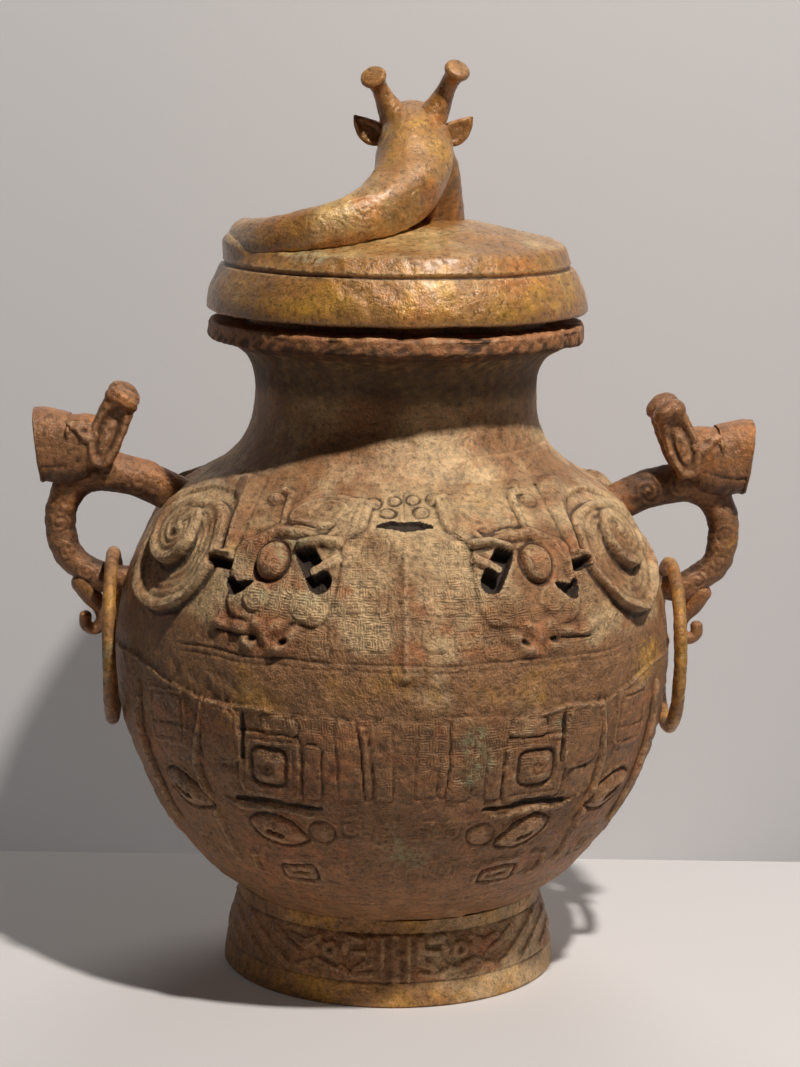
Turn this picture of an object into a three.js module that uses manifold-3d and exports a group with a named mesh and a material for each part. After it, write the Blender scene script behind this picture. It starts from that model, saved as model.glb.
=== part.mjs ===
// A lidded bronze lei, the round-shouldered wine jar of the early Western Zhou, in millimetres, +Z up.
// The jar stands on z = 0 with its axis on Z, its front towards -Y and its two ring handles on X.
// Jar, foot, shoulder dragons, handles and lid are separate castings that seat on each other.
import * as THREE from "three";
import { mergeVertices } from "three/addons/utils/BufferGeometryUtils.js";
import Module from "manifold-3d";

const wasm = await Module();
wasm.setup();

// Sizes of the jar
const BELLY_RADIUS = 152; // at its widest
const BELLY_LEVEL = 178; // height of the widest part
const LOWER_BELLY_DEPTH = 160; // half-height of the oval that the lower belly follows
const LOWER_BELLY_POWER = 1.9; // under 2 draws the oval in a little towards the foot
const UPPER_BELLY_RISE = 144; // half-height of the oval that the upper belly follows
const SHOULDER_LEVEL = 262; // where the upper belly turns in to the neck
const NECK_RADIUS = 76.5; // at its narrowest
const NECK_LEVEL = 316; // height of the narrowest part
const NECK_TURN = 19; // how gently shoulder and neck run into each other
const LIP_TURN = 18; // and how gently the neck flares to the rim
const RIM_RADIUS = 102;
const RIM_LEVEL = 359; // top face of the rim
const RIM_THICKNESS = 10;
const MOUTH_RADIUS = 82; // inner edge of the rim's top face
const THROAT_LEVEL = 338; // where the flared mouth meets the inside of the neck
const WALL = 4.5;
const RIDGE_WIDTH = 5; // the upright ridge in the middle of the shoulder, front and back
const RIDGE_PROUD = 4;
const RIDGE_LOW = 188;
const RIDGE_HIGH = 258;
const RIDGE_STEPS = 7;

// Sizes of the foot
const FOOT_RADIUS = 92.5; // at the ground
const FOOT_HEIGHT = 46;
const FOOT_WALL = 5.5;
const REGISTER_DEPTH = 6; // how far the jar's floor stands down inside the foot

// Sizes of the lid
const LID_RADIUS = 103;
const LID_GAP = 5.5; // open line between rim and lid
const LID_LIP = 3; // upright edge at the bottom of the lid
const LID_GROOVE_RISE = 25; // groove under the dragon's coil, above the lid's edge
const LID_GROOVE_INSET = 8.5; // of the groove from the lid's edge
const LID_SHOULDER_INSET = 6.5; // of the shoulder from the groove
const LID_SHOULDER_RISE = 34;
const LID_CROWN_RADIUS = 34;
const LID_CROWN_RISE = 46;
const LID_TOP_RISE = 48;
const LID_BULGE_IN = 2; // how far the lid's side has drawn in where it turns towards the groove
const LID_WALL = 4.5;
const SPIGOT_DEPTH = 19; // how far the lid's collar reaches down into the mouth

// Sizes of the dragon on the lid
const COIL_FIRST_FACET = -4; // the tip of the tail, counted in the lid's facets from the front towards +X
const COIL_LAST_FACET = 30; // where the neck leaves the coil
const COIL_WIDTH = 36; // breadth of the body
const COIL_PROUD = 10; // how far it stands above the lid's shoulder where the neck leaves it
const COIL_TAIL_PROUD = 1.2; // and at the tip of the tail
const NECK_HALF = 13; // half-thickness of the neck where it leaves the coil
const NAPE_HALF = 19; // half-thickness at the nape
const HEAD_X = 8; // the head stands a little to the right of the axis
const HEAD_LEVEL = 457;
const HEAD_LENGTH = 66;
const HEAD_HALF = 19;
const CHEST_FORWARD = 22;
const FORELEG_HALF = 6;
const HORN_LENGTH = 28;
const HORN_BASE_RADIUS = 7;
const HORN_WAIST_RADIUS = 3.7;
const HORN_DISC_RADIUS = 6.3;
const HORN_DISC_THICKNESS = 2.6;
const HORN_SPREAD = 24; // degrees that each horn leans out
const HORN_OFFSET = 12.5; // of a horn's foot from the middle of the head
const PEG_RADIUS = 3.2; // peg that fixes a horn in the head
const PEG_LENGTH = 7;
const DRAGON_EAR_LENGTH = 19;

// Sizes of the ring handles, which stand off the belly
const BAR_LEVEL = 214; // the bar that carries the ring, where the loop comes back to the belly
const BAR_HALF = 8;
const ARM_LEVEL = 262; // where the arm leaves the shoulder
const ARM_HALF = 11.5;
const LOOP_REACH = 30.5; // middle of the loop's outer side, beyond the middle of the ring's wire
const LOOP_LEVEL = 243;
const LOOP_HALF = 8;
const HANDLE_BREADTH = 0.86; // breadth of the loop along Y as a share of its thickness
const MUZZLE_REACH = 13; // end of the muzzle, beyond the middle of the loop's outer side
const MUZZLE_LEVEL = 290;
const MUZZLE_HALF = 20;
const BEAST_HEAD_LENGTH = 42;
const BEAST_HEAD_HALF = 17;
const BEAST_EYE_RADIUS = 4.5;
const EAR_LENGTH = 44;
const EAR_WIDTH = 19;
const EAR_THICKNESS = 8;
const EAR_LEAN = 24; // degrees that the ears lean back over the arm
const HOOK_RADIUS = 7; // the curled tail under the bar
const HOOK_HALF = 3.6;
const HOOK_FROM = 165; // degrees at which the tail starts to curl
const HOOK_TURN = 240; // degrees that it curls through
const TENON_RADIUS = 5.5; // stub that passes through the jar's wall
const RIVET_RADIUS = 12; // cast head that locks a tenon inside the jar
const RIVET_HEIGHT = 5;
const TENON_BITE = 2.5; // how far a tenon reaches into its rivet head

// Sizes of the rings
const RING_RADIUS = 45; // to the middle of the wire
const RING_WIRE = 4.4;
const RING_STAND_OFF = 6.83; // middle of the wire from the belly, at the bar

// Sizes of the shoulder dragons: one pair in front and one behind, around the ridge
const COILED_BODY_AZIMUTH = 59; // degrees from the front
const COILED_BODY_LEVEL = 243;
const COILED_BODY_HALF_WIDTH = 29; // to the middle of the band
const COILED_BODY_HALF_HEIGHT = 23.5;
const COIL_DRAW_IN = 0.88; // share of its size that the coil loses on the way to its tip
const COIL_DRAW_POWER = 1.15; // over 1 keeps the outer turn wide
const COILED_BODY_TURNS = 1.6;
const BAND_HALF = 6.5; // half-breadth of the raised band
const BAND_PROUD = 6;
const COIL_TIP_HALF = 4.5;
const COIL_TIP_PROUD = 11;
const DRAGON_EYE_AZIMUTH = 30;
const DRAGON_EYE_LEVEL = 247;
const DRAGON_EYE_RADIUS = 10;
const DRAGON_EYE_PROUD = 7;
const NOSE_CURL_AZIMUTH = 20;
const NOSE_CURL_LEVEL = 268;
const NOSE_CURL_RADIUS = 12;
const COILED_BODY_FROM = 235; // degrees round the coil at which the neck joins it
const JAW_LEVEL = 212;
const JAW_WAVE = 5;

// Sizes of the masks on the lower belly: plates, ridges and eyes raised on the wall, alike in each quarter
const MASK_LOW = 76; // level at which the ridges end below
const MASK_HIGH = 172; // level at which plates and ridges end above
const PLATE_PROUD = 1.8;
const SCROLL_PLATE_FROM = 17; // degrees from the front at which the plate of the square scroll begins
const SCROLL_PLATE_TO = 37;
const SCROLL_PLATE_LOW = 124;
const MASK_RIDGE_AZIMUTH = 44;
const MASK_RIDGE_HALF = 3.5;
const MASK_RIDGE_PROUD = 3.4;
const MASK_EDGE_AZIMUTH = 64; // the outer edge of the side panel
const MASK_EDGE_HALF = 5;
const MASK_EDGE_PROUD = 4.6;
const MASK_EYE_AZIMUTH = 27.5;
const MASK_EYE_LEVEL = 109;
const SIDE_EYE_AZIMUTH = 51;
const SIDE_EYE_LEVEL = 121;
const MASK_EYE_LENGTH = 32;
const MASK_EYE_HALF = 8.5;
const MASK_EYE_PROUD = 4.4;
const MASK_EYE_TILT = 20; // degrees by which an eye rises towards the handle

// Sizes of the third handle, low on the back, by which the jar was tipped
const TIP_HANDLE_HIGH = 106;
const TIP_HANDLE_LOW = 68;
const TIP_HANDLE_REACH = 14.7; // middle of the arch from the belly
const TIP_HANDLE_HALF = 5.5;
const TIP_HEAD_LENGTH = 26;

// Fits, and how finely round forms are faceted
const CLEARANCE = 0.3;
const ROUND = 36;
const SMALL_ROUND = 9;
const SLIVER = 0.08; // joined solids lose facets that move their face by less than this
const OUTER_STEPS = { belly: 10, neck: 5, lip: 4 };
const INNER_STEPS = { belly: 5, neck: 2, lip: 1 };

const rad = THREE.MathUtils.degToRad;
const point = (x, z) => new THREE.Vector2(x, z);
const place = (x, y, z) => new THREE.Vector3(x, y, z);

// Bronze finishes: the jar is dull brown, the lid and the handles are more yellow and rusty
const bronze = (color, roughness) => new THREE.MeshStandardMaterial({ color, roughness, metalness: 0.75 });
const JAR_BRONZE = 0x6b4f31;
const LID_BRONZE = 0x8f6424;
const HANDLE_BRONZE = 0x84501f;

// Turns a three.js geometry into a solid that can be joined and cut
function solid(geometry) {
  const bare = new THREE.BufferGeometry();
  bare.setAttribute("position", geometry.getAttribute("position"));
  bare.setIndex(geometry.index);
  const merged = mergeVertices(bare, 1e-4);
  const vertProperties = new Float32Array(merged.getAttribute("position").array);
  const triVerts = new Uint32Array(merged.index.array);
  return new wasm.Manifold(new wasm.Mesh({ numProp: 3, vertProperties, triVerts }));
}

// A named mesh from a solid
function piece(name, body, material) {
  const mesh = body.getMesh();
  const geometry = new THREE.BufferGeometry();
  geometry.setAttribute("position", new THREE.BufferAttribute(new Float32Array(mesh.vertProperties), 3));
  geometry.setIndex(new THREE.BufferAttribute(new Uint32Array(mesh.triVerts), 1));
  geometry.computeVertexNormals();
  const made = new THREE.Mesh(geometry, material);
  made.name = name;
  return made;
}

// A body of revolution about Z; the profile runs from the bottom round the outside to the top
function revolve(profile, segments = ROUND) {
  return new THREE.LatheGeometry(profile, segments).rotateX(Math.PI / 2);
}

// A cylinder between two places, with one radius at each end
function rod(from, to, startRadius, endRadius = startRadius) {
  const axis = to.clone().sub(from);
  const geometry = new THREE.CylinderGeometry(endRadius, startRadius, axis.length(), SMALL_ROUND);
  const turn = new THREE.Quaternion().setFromUnitVectors(place(0, 1, 0), axis.normalize());
  const middle = from.clone().add(to).multiplyScalar(0.5);
  return solid(geometry.applyQuaternion(turn).translate(middle.x, middle.y, middle.z));
}

// An egg-shaped boss
function boss(centre, size, segments = SMALL_ROUND) {
  const ball = new THREE.SphereGeometry(1, segments, Math.ceil(segments / 2));
  return solid(ball.scale(size.x, size.y, size.z).translate(centre.x, centre.y, centre.z));
}

// A closed body skinned over rings of equal point counts, each turning the same way round the course
function skin(rings) {
  const sides = rings[0].length;
  const positions = rings.flat().flatMap((corner) => corner.toArray());
  const index = [];
  for (let ring = 0; ring < rings.length - 1; ring++) {
    for (let i = 0; i < sides; i++) {
      const here = ring * sides + i;
      const next = ring * sides + ((i + 1) % sides);
      index.push(here, next, next + sides, here, next + sides, here + sides);
    }
  }
  const last = (rings.length - 1) * sides;
  for (let i = 1; i < sides - 1; i++) {
    index.push(0, i + 1, i);
    index.push(last, last + i, last + i + 1);
  }
  const geometry = new THREE.BufferGeometry();
  geometry.setAttribute("position", new THREE.BufferAttribute(new Float32Array(positions), 3));
  geometry.setIndex(index);
  return solid(geometry);
}

// Carries a rounded outline along a curve. section(t) gives half-breadth, half-height and a power that
// squares the outline as it falls below 1; side(t, tangent) gives the direction of the breadth.
function loft(curve, steps, sides, section, side) {
  const rings = [];
  for (let step = 0; step <= steps; step++) {
    const t = step / steps;
    const centre = curve.getPoint(t);
    const tangent = curve.getTangent(t);
    const breadth = side(t, tangent).clone().projectOnPlane(tangent).normalize();
    const height = new THREE.Vector3().crossVectors(tangent, breadth);
    const { half, rise, power = 1 } = section(t);
    const ring = [];
    for (let i = 0; i < sides; i++) {
      const angle = ((i + 0.5) / sides) * 2 * Math.PI;
      const across = half * Math.sign(Math.cos(angle)) * Math.abs(Math.cos(angle)) ** power;
      const up = rise * Math.sign(Math.sin(angle)) * Math.abs(Math.sin(angle)) ** power;
      ring.push(centre.clone().addScaledVector(breadth, across).addScaledVector(height, up));
    }
    rings.push(ring);
  }
  return skin(rings);
}

// Moves from a first value to a last as t goes from 0 to 1, along evenly spaced values between
function between(values, t) {
  const at = Math.min(t, 1) * (values.length - 1);
  const low = Math.min(Math.floor(at), values.length - 2);
  return THREE.MathUtils.lerp(values[low], values[low + 1], THREE.MathUtils.smoothstep(at - low, 0, 1));
}

// The outer radius of the belly at a height
function bellyRadius(level) {
  const below = Math.max(0, (BELLY_LEVEL - level) / LOWER_BELLY_DEPTH) ** LOWER_BELLY_POWER;
  const above = Math.max(0, (level - BELLY_LEVEL) / UPPER_BELLY_RISE) ** 2;
  return BELLY_RADIUS * Math.sqrt(1 - below - above);
}

// A copy of an open profile, moved sideways: to the right of its course when the distance is positive
function sidestep(profile, distance) {
  return profile.map((here, i) => {
    const before = profile[Math.max(i - 1, 0)];
    const after = profile[Math.min(i + 1, profile.length - 1)];
    const course = after.clone().sub(before).normalize();
    return point(here.x + course.y * distance, here.y - course.x * distance);
  });
}

// The jar's outer profile from the foot joint to the underside of the rim
const FOOT_TOP_RADIUS = bellyRadius(FOOT_HEIGHT);
const RIM_ROUND = RIM_THICKNESS / 2;
function jarProfile(steps) {
  const belly = [];
  for (let i = 0; i <= steps.belly; i++) {
    const level = THREE.MathUtils.lerp(FOOT_HEIGHT, SHOULDER_LEVEL, i / steps.belly);
    belly.push(point(bellyRadius(level), level));
  }
  const shoulder = belly[steps.belly];
  const slope = point(bellyRadius(SHOULDER_LEVEL) - bellyRadius(SHOULDER_LEVEL - 1), 1).normalize();
  const towardsNeck = shoulder.clone().addScaledVector(slope, NECK_TURN);
  towardsNeck.x += 0.7 * NECK_TURN * slope.x;
  const neck = point(NECK_RADIUS, NECK_LEVEL);
  const lip = point(RIM_RADIUS - RIM_ROUND, RIM_LEVEL - RIM_THICKNESS);
  const belowNeck = point(NECK_RADIUS, NECK_LEVEL - 1.6 * NECK_TURN);
  const aboveNeck = point(NECK_RADIUS, NECK_LEVEL + LIP_TURN);
  const belowLip = point(lip.x - LIP_TURN, lip.y - RIM_ROUND);
  const turnIn = new THREE.CubicBezierCurve(shoulder, towardsNeck, belowNeck, neck).getPoints(steps.neck);
  const turnOut = new THREE.CubicBezierCurve(neck, aboveNeck, belowLip, lip).getPoints(steps.lip);
  return [...belly, ...turnIn.slice(1), ...turnOut.slice(1)];
}

// The cone of the flared mouth, in which the lid's collar sits
const THROAT_RADIUS = MOUTH_RADIUS - 0.26 * (RIM_LEVEL - THROAT_LEVEL);
const mouthRadius = (level) =>
  THREE.MathUtils.mapLinear(level, THROAT_LEVEL, RIM_LEVEL, THROAT_RADIUS, MOUTH_RADIUS);

// The jar filled solid, grown or shrunk by a distance: pieces outside are cut to its wall with it
function jarForm(grow) {
  const wall = sidestep(jarProfile(OUTER_STEPS), grow).filter((p) => p.y < RIM_LEVEL - RIM_THICKNESS - 1);
  const bottom = point(0, FOOT_HEIGHT - REGISTER_DEPTH);
  const top = point(0, wall[wall.length - 1].y);
  return solid(revolve([bottom, point(wall[0].x, bottom.y), ...wall, top]));
}

// The hollow of the jar, shrunk by a distance: pieces inside are kept within it
const FLOOR_LEVEL = FOOT_HEIGHT - REGISTER_DEPTH + WALL;
function insideProfile(shrink) {
  const wall = sidestep(jarProfile(INNER_STEPS), -(WALL + shrink));
  const inner = wall.filter((p) => p.y > FLOOR_LEVEL + shrink + 2 && p.y < THROAT_LEVEL);
  const floor = FLOOR_LEVEL + shrink;
  return [point(0, floor), point(FOOT_TOP_RADIUS - 2 * WALL, floor), ...inner];
}

// A place on the belly's outer face, proud of it by a distance, at degrees from the front and a height
function onBelly(azimuth, level, proud) {
  const slope = (bellyRadius(level + 1) - bellyRadius(level - 1)) / 2;
  const lean = Math.atan(slope);
  const out = bellyRadius(level) + proud * Math.cos(lean);
  return place(out * Math.sin(rad(azimuth)), -out * Math.cos(rad(azimuth)), level - proud * Math.sin(lean));
}

// The outward direction of the belly's face
function awayFromBelly(azimuth, level) {
  return onBelly(azimuth, level, 1).sub(onBelly(azimuth, level, 0)).normalize();
}

// A tenon with the hole that it needs and the cast rivet head that locks it inside the jar
function tenon(root, outward) {
  const through = 1.6 * WALL;
  const inner = root.clone().addScaledVector(outward, -(through + TENON_BITE));
  const stub = rod(inner, root.clone().addScaledVector(outward, WALL), TENON_RADIUS);
  const farIn = inner.clone().addScaledVector(outward, -CLEARANCE);
  const hole = rod(farIn, root.clone().addScaledVector(outward, WALL), TENON_RADIUS + CLEARANCE);
  const headTop = root.clone().addScaledVector(outward, -(through + RIVET_HEIGHT));
  const head = rod(headTop, root, 0.7 * RIVET_RADIUS, 1.3 * RIVET_RADIUS);
  return { stub, hole, rivet: head };
}

// The two handles on X: a bent bar with an animal's head cast over its upper bend
const armRoot = place(bellyRadius(ARM_LEVEL), 0, ARM_LEVEL);
const barRoot = place(bellyRadius(BAR_LEVEL), 0, BAR_LEVEL);
const ringOut = barRoot.x + RING_STAND_OFF;
const loopOut = ringOut + LOOP_REACH;
const muzzleOut = loopOut + MUZZLE_REACH;
const headBack = muzzleOut - BEAST_HEAD_LENGTH;
const armOutward = place(0.88, 0, 0.47).normalize();
const barOutward = place(1, 0, 0);
const acrossHandle = () => place(0, 1, 0);

function loopForm(grow) {
  const course = new THREE.CatmullRomCurve3([
    armRoot.clone().addScaledVector(armOutward, -1.5 * ARM_HALF),
    armRoot.clone().addScaledVector(armOutward, 1.5 * ARM_HALF),
    place(headBack + 0.2 * BEAST_HEAD_LENGTH, 0, MUZZLE_LEVEL - 0.65 * MUZZLE_HALF),
    place(loopOut - LOOP_HALF, 0, MUZZLE_LEVEL - 0.85 * MUZZLE_HALF),
    place(loopOut, 0, LOOP_LEVEL),
    place(loopOut - 1.6 * LOOP_HALF, 0, BAR_LEVEL + 0.75 * BAR_HALF),
    place(ringOut + RING_WIRE, 0, BAR_LEVEL),
    place(barRoot.x - 2 * WALL, 0, BAR_LEVEL),
  ]);
  const arm = [ARM_HALF, ARM_HALF, ARM_HALF];
  const thickness = [...arm, LOOP_HALF, LOOP_HALF, LOOP_HALF, BAR_HALF, BAR_HALF];
  const section = (t) => {
    const rise = between(thickness, t);
    return { half: HANDLE_BREADTH * rise + grow, rise: rise + grow, power: 0.85 };
  };
  return loft(course, 20, 8, section, acrossHandle);
}

// The curled tail under the bar
function hookForm() {
  const middle = place(ringOut + 3.3 * RING_WIRE, 0, BAR_LEVEL - BAR_HALF - 2.2 * HOOK_RADIUS);
  const course = [place(middle.x - 0.2 * HOOK_RADIUS, 0, BAR_LEVEL)];
  for (let turned = 0; turned <= HOOK_TURN; turned += HOOK_TURN / 6) {
    const angle = rad(HOOK_FROM + turned);
    const reach = HOOK_RADIUS * (1 - (0.25 * turned) / HOOK_TURN);
    course.push(place(reach * Math.cos(angle), 0, reach * Math.sin(angle)).add(middle));
  }
  const section = (t) => {
    const half = HOOK_HALF * (1.15 - 0.45 * t);
    return { half, rise: half };
  };
  return loft(new THREE.CatmullRomCurve3(course), 14, 6, section, acrossHandle);
}

// The animal's head, astride the bend: a short neck, a drawn-in snout and a flared, blunt muzzle
function beastHeadForm(grow) {
  const course = new THREE.LineCurve3(
    place(headBack, 0, MUZZLE_LEVEL + 0.1 * MUZZLE_HALF),
    place(muzzleOut, 0, MUZZLE_LEVEL),
  );
  const rises = [0.72, 0.88, 0.92, 1].map((share) => share * BEAST_HEAD_HALF);
  rises.push(MUZZLE_HALF);
  const section = (t) => {
    const rise = between(rises, t) + grow;
    return { half: 0.94 * rise, rise, power: 0.8 };
  };
  return loft(course, 8, 10, section, acrossHandle);
}

// An ear: an upright leaf, hollowed on the side of the muzzle, leaning back over the arm
function beastEarForm(sideways) {
  const footX = headBack + 0.12 * BEAST_HEAD_LENGTH;
  const foot = place(footX, sideways * 0.62 * BEAST_HEAD_HALF, MUZZLE_LEVEL - 0.15 * MUZZLE_HALF);
  const lean = place(-Math.sin(rad(EAR_LEAN)), 0.12 * sideways, Math.cos(rad(EAR_LEAN)));
  const tip = foot.clone().addScaledVector(lean, EAR_LENGTH * 0.85);
  const curl = tip.clone().add(place(-0.12 * EAR_LENGTH, 0, 0.04 * EAR_LENGTH));
  const course = new THREE.CatmullRomCurve3([foot, foot.clone().lerp(tip, 0.5), tip, curl]);
  const widths = [0.55, 0.85, 1, 0.95, 0.5].map((share) => (share * EAR_WIDTH) / 2);
  const section = (t) => ({ half: EAR_THICKNESS / 2, rise: between(widths, t), power: 0.9 });
  const leaf = loft(course, 7, 6, section, acrossHandle);
  const dishAt = foot.clone().addScaledVector(lean, 0.62 * EAR_LENGTH);
  dishAt.x += 0.3 * EAR_WIDTH;
  dishAt.y += sideways * 0.6 * EAR_THICKNESS;
  const dish = boss(dishAt, place(0.42 * EAR_WIDTH, 0.62 * EAR_THICKNESS, 0.3 * EAR_LENGTH), 8);
  return leaf.subtract(dish);
}

// Cutting tools and shared solids
const jarOutside = jarForm(CLEARANCE);
const hollowKeep = solid(revolve([...insideProfile(CLEARANCE), point(0, THROAT_LEVEL - 2 * WALL)]));
const armTenon = tenon(armRoot, armOutward);
const barTenon = tenon(barRoot, barOutward);
const mirrored = (v) => place(-v.x, v.y, v.z);
const leftTenons = [
  tenon(mirrored(armRoot), mirrored(armOutward)),
  tenon(mirrored(barRoot), mirrored(barOutward)),
];

// One ring handle on the side of +X, with everything that is fixed to it
function ringHandle(side) {
  const group = new THREE.Group();
  const rust = bronze(HANDLE_BRONZE, 0.62);
  const bent = loopForm(0).add(hookForm()).subtract(jarOutside);
  const bar = bent.add(armTenon.stub).add(barTenon.stub);
  group.add(piece(`handle_${side}`, bar, rust));

  const eyeX = muzzleOut - 0.47 * BEAST_HEAD_LENGTH;
  let head = beastHeadForm(0);
  for (const sideways of [-1, 1]) {
    const eye = place(eyeX, sideways * 0.86 * BEAST_HEAD_HALF, MUZZLE_LEVEL + 0.35 * MUZZLE_HALF);
    head = head.add(boss(eye, place(BEAST_EYE_RADIUS, BEAST_EYE_RADIUS, BEAST_EYE_RADIUS)));
  }
  group.add(piece(`handle_head_${side}`, head.subtract(loopForm(CLEARANCE)), bronze(HANDLE_BRONZE, 0.6)));

  const headKeep = beastHeadForm(CLEARANCE).add(loopForm(CLEARANCE));
  for (const [where, sideways] of Object.entries({ front: -1, back: 1 })) {
    const ear = beastEarForm(sideways).subtract(headKeep);
    group.add(piece(`handle_ear_${side}_${where}`, ear, bronze(HANDLE_BRONZE, 0.62)));
  }

  for (const [where, made] of Object.entries({ upper: armTenon, lower: barTenon })) {
    const locked = made.rivet.intersect(hollowKeep).subtract(made.hole);
    group.add(piece(`rivet_${side}_${where}`, locked, bronze(JAR_BRONZE, 0.7)));
  }

  const ringLevel = BAR_LEVEL + BAR_HALF + CLEARANCE + RING_WIRE - RING_RADIUS;
  const wire = new THREE.TorusGeometry(RING_RADIUS, RING_WIRE, 6, 26).rotateY(Math.PI / 2);
  wire.translate(ringOut, 0, ringLevel);
  group.add(piece(`ring_${side}`, solid(wire), bronze(HANDLE_BRONZE, 0.55)));
  return group;
}

// The third handle: a short arch low on the back with an ox's head at its top
const tipHigh = place(0, bellyRadius(TIP_HANDLE_HIGH), TIP_HANDLE_HIGH);
const tipLow = place(0, bellyRadius(TIP_HANDLE_LOW), TIP_HANDLE_LOW);
const tipOut = tipHigh.y + TIP_HANDLE_REACH;
const backwards = place(0, 1, 0);
const tipTenons = [tenon(tipHigh, backwards), tenon(tipLow, backwards)];
function tippingHandle() {
  const group = new THREE.Group();
  const acrossTip = () => place(1, 0, 0);
  const archLevel = (share) => THREE.MathUtils.lerp(TIP_HANDLE_LOW, TIP_HANDLE_HIGH, share);
  const course = new THREE.CatmullRomCurve3([
    tipHigh.clone().addScaledVector(backwards, -2 * WALL),
    tipHigh.clone().addScaledVector(backwards, 0.4 * (tipOut - tipHigh.y)),
    place(0, tipOut, archLevel(0.62)),
    place(0, tipOut - TIP_HANDLE_HALF, archLevel(0.22)),
    tipLow.clone().addScaledVector(backwards, -2 * WALL),
  ]);
  const archSection = () => ({ half: 1.3 * TIP_HANDLE_HALF, rise: TIP_HANDLE_HALF });
  const arch = loft(course, 14, 8, archSection, acrossTip);
  const brow = place(0, tipHigh.y - WALL, TIP_HANDLE_HIGH + TIP_HANDLE_HALF);
  const muzzle = place(0, tipOut + 0.4 * TIP_HANDLE_HALF, TIP_HANDLE_HIGH - 0.2 * TIP_HEAD_LENGTH);
  const face = [1.9, 2.1, 1.6, 1.5].map((share) => share * TIP_HANDLE_HALF);
  const headSection = (t) => ({ half: between(face, t), rise: 0.8 * between(face, t), power: 0.85 });
  let made = arch.add(loft(new THREE.LineCurve3(brow, muzzle), 6, 10, headSection, acrossTip));
  for (const sideways of [-1, 1]) {
    const hornRoot = brow.clone().lerp(muzzle, 0.35);
    const hornReach = place(0.8 * sideways, -0.08, 0.45).multiplyScalar(TIP_HEAD_LENGTH);
    const hornTip = hornRoot.clone().add(hornReach);
    made = made.add(rod(hornRoot, hornTip, 0.75 * TIP_HANDLE_HALF, 0.3 * TIP_HANDLE_HALF));
  }
  made = made.subtract(jarOutside).add(tipTenons[0].stub).add(tipTenons[1].stub);
  group.add(piece("tipping_handle", made, bronze(HANDLE_BRONZE, 0.62)));
  for (const [i, where] of ["upper", "lower"].entries()) {
    const locked = tipTenons[i].rivet.intersect(hollowKeep).subtract(tipTenons[i].hole);
    group.add(piece(`rivet_back_${where}`, locked, bronze(JAR_BRONZE, 0.7)));
  }
  return group;
}

// A raised band on the belly along a course of spots (azimuth and level), flat below and rounded above. Its
// foot stands clear of the wall, or is sunk into it by a lift below 0.
function bandOnBelly(spot, steps, halfAt, proudAt, lift = 2 * CLEARANCE) {
  const rings = [];
  for (let step = 0; step <= steps; step++) {
    const t = step / steps;
    const ahead = onBelly(...spot(Math.min(t + 0.01, 1)), 0);
    const course = ahead.sub(onBelly(...spot(Math.min(t + 0.01, 1) - 0.02), 0)).normalize();
    const away = awayFromBelly(...spot(t));
    const aside = new THREE.Vector3().crossVectors(away, course).normalize();
    const foot = onBelly(...spot(t), lift);
    const at = (across, up) => foot.clone().addScaledVector(aside, across).addScaledVector(away, up);
    const half = halfAt(t);
    const rise = proudAt(t);
    const flank = { out: 0.7 * half, up: 0.85 * rise };
    rings.push([at(half, 0), at(flank.out, flank.up), at(0, rise), at(-flank.out, flank.up), at(-half, 0)]);
  }
  return skin(rings);
}

// Degrees round the belly that a length covers at a level
const spread = (length, level) => THREE.MathUtils.radToDeg(length / bellyRadius(level));

// A plate raised on the wall between two azimuths and two levels; it follows the wall's curve
function plateOnBelly(from, to, low, high, proud) {
  const rings = [];
  for (const rise of [0, 0.5, 1]) {
    const level = THREE.MathUtils.lerp(low, high, rise);
    const row = (share, up) => onBelly(THREE.MathUtils.lerp(from, to, share), level, up);
    const sunk = -WALL / 2;
    rings.push([row(0, proud), row(0.5, proud), row(1, proud), row(1, sunk), row(0.5, sunk), row(0, sunk)]);
  }
  return skin(rings);
}

// One quarter of the masks on the lower belly: a plate, the ridge and edge beside it, and two eyes
function maskForm() {
  const sunk = -WALL / 2;
  const upright = (azimuth, half, proud) => {
    const spot = (t) => [azimuth - 3 * t ** 2, THREE.MathUtils.lerp(MASK_HIGH, MASK_LOW, t)];
    return bandOnBelly(spot, 4, (t) => half * (1 - 0.4 * t), () => proud - sunk, sunk);
  };
  const eye = (azimuth, level) => {
    const spot = (t) => {
      const along = (t - 0.5) * MASK_EYE_LENGTH;
      const aside = spread(along * Math.cos(rad(MASK_EYE_TILT)), level);
      return [azimuth + aside, level + along * Math.sin(rad(MASK_EYE_TILT))];
    };
    const swell = (t) => Math.sin(Math.PI * THREE.MathUtils.lerp(0.12, 0.88, t));
    return bandOnBelly(spot, 4, (t) => MASK_EYE_HALF * swell(t), (t) => MASK_EYE_PROUD * swell(t) - sunk, sunk);
  };
  return plateOnBelly(SCROLL_PLATE_FROM, SCROLL_PLATE_TO, SCROLL_PLATE_LOW, MASK_HIGH, PLATE_PROUD)
    .add(upright(MASK_RIDGE_AZIMUTH, MASK_RIDGE_HALF, MASK_RIDGE_PROUD))
    .add(upright(MASK_EDGE_AZIMUTH, MASK_EDGE_HALF, MASK_EDGE_PROUD))
    .add(eye(MASK_EYE_AZIMUTH, MASK_EYE_LEVEL))
    .add(eye(SIDE_EYE_AZIMUTH, SIDE_EYE_LEVEL));
}

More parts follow.
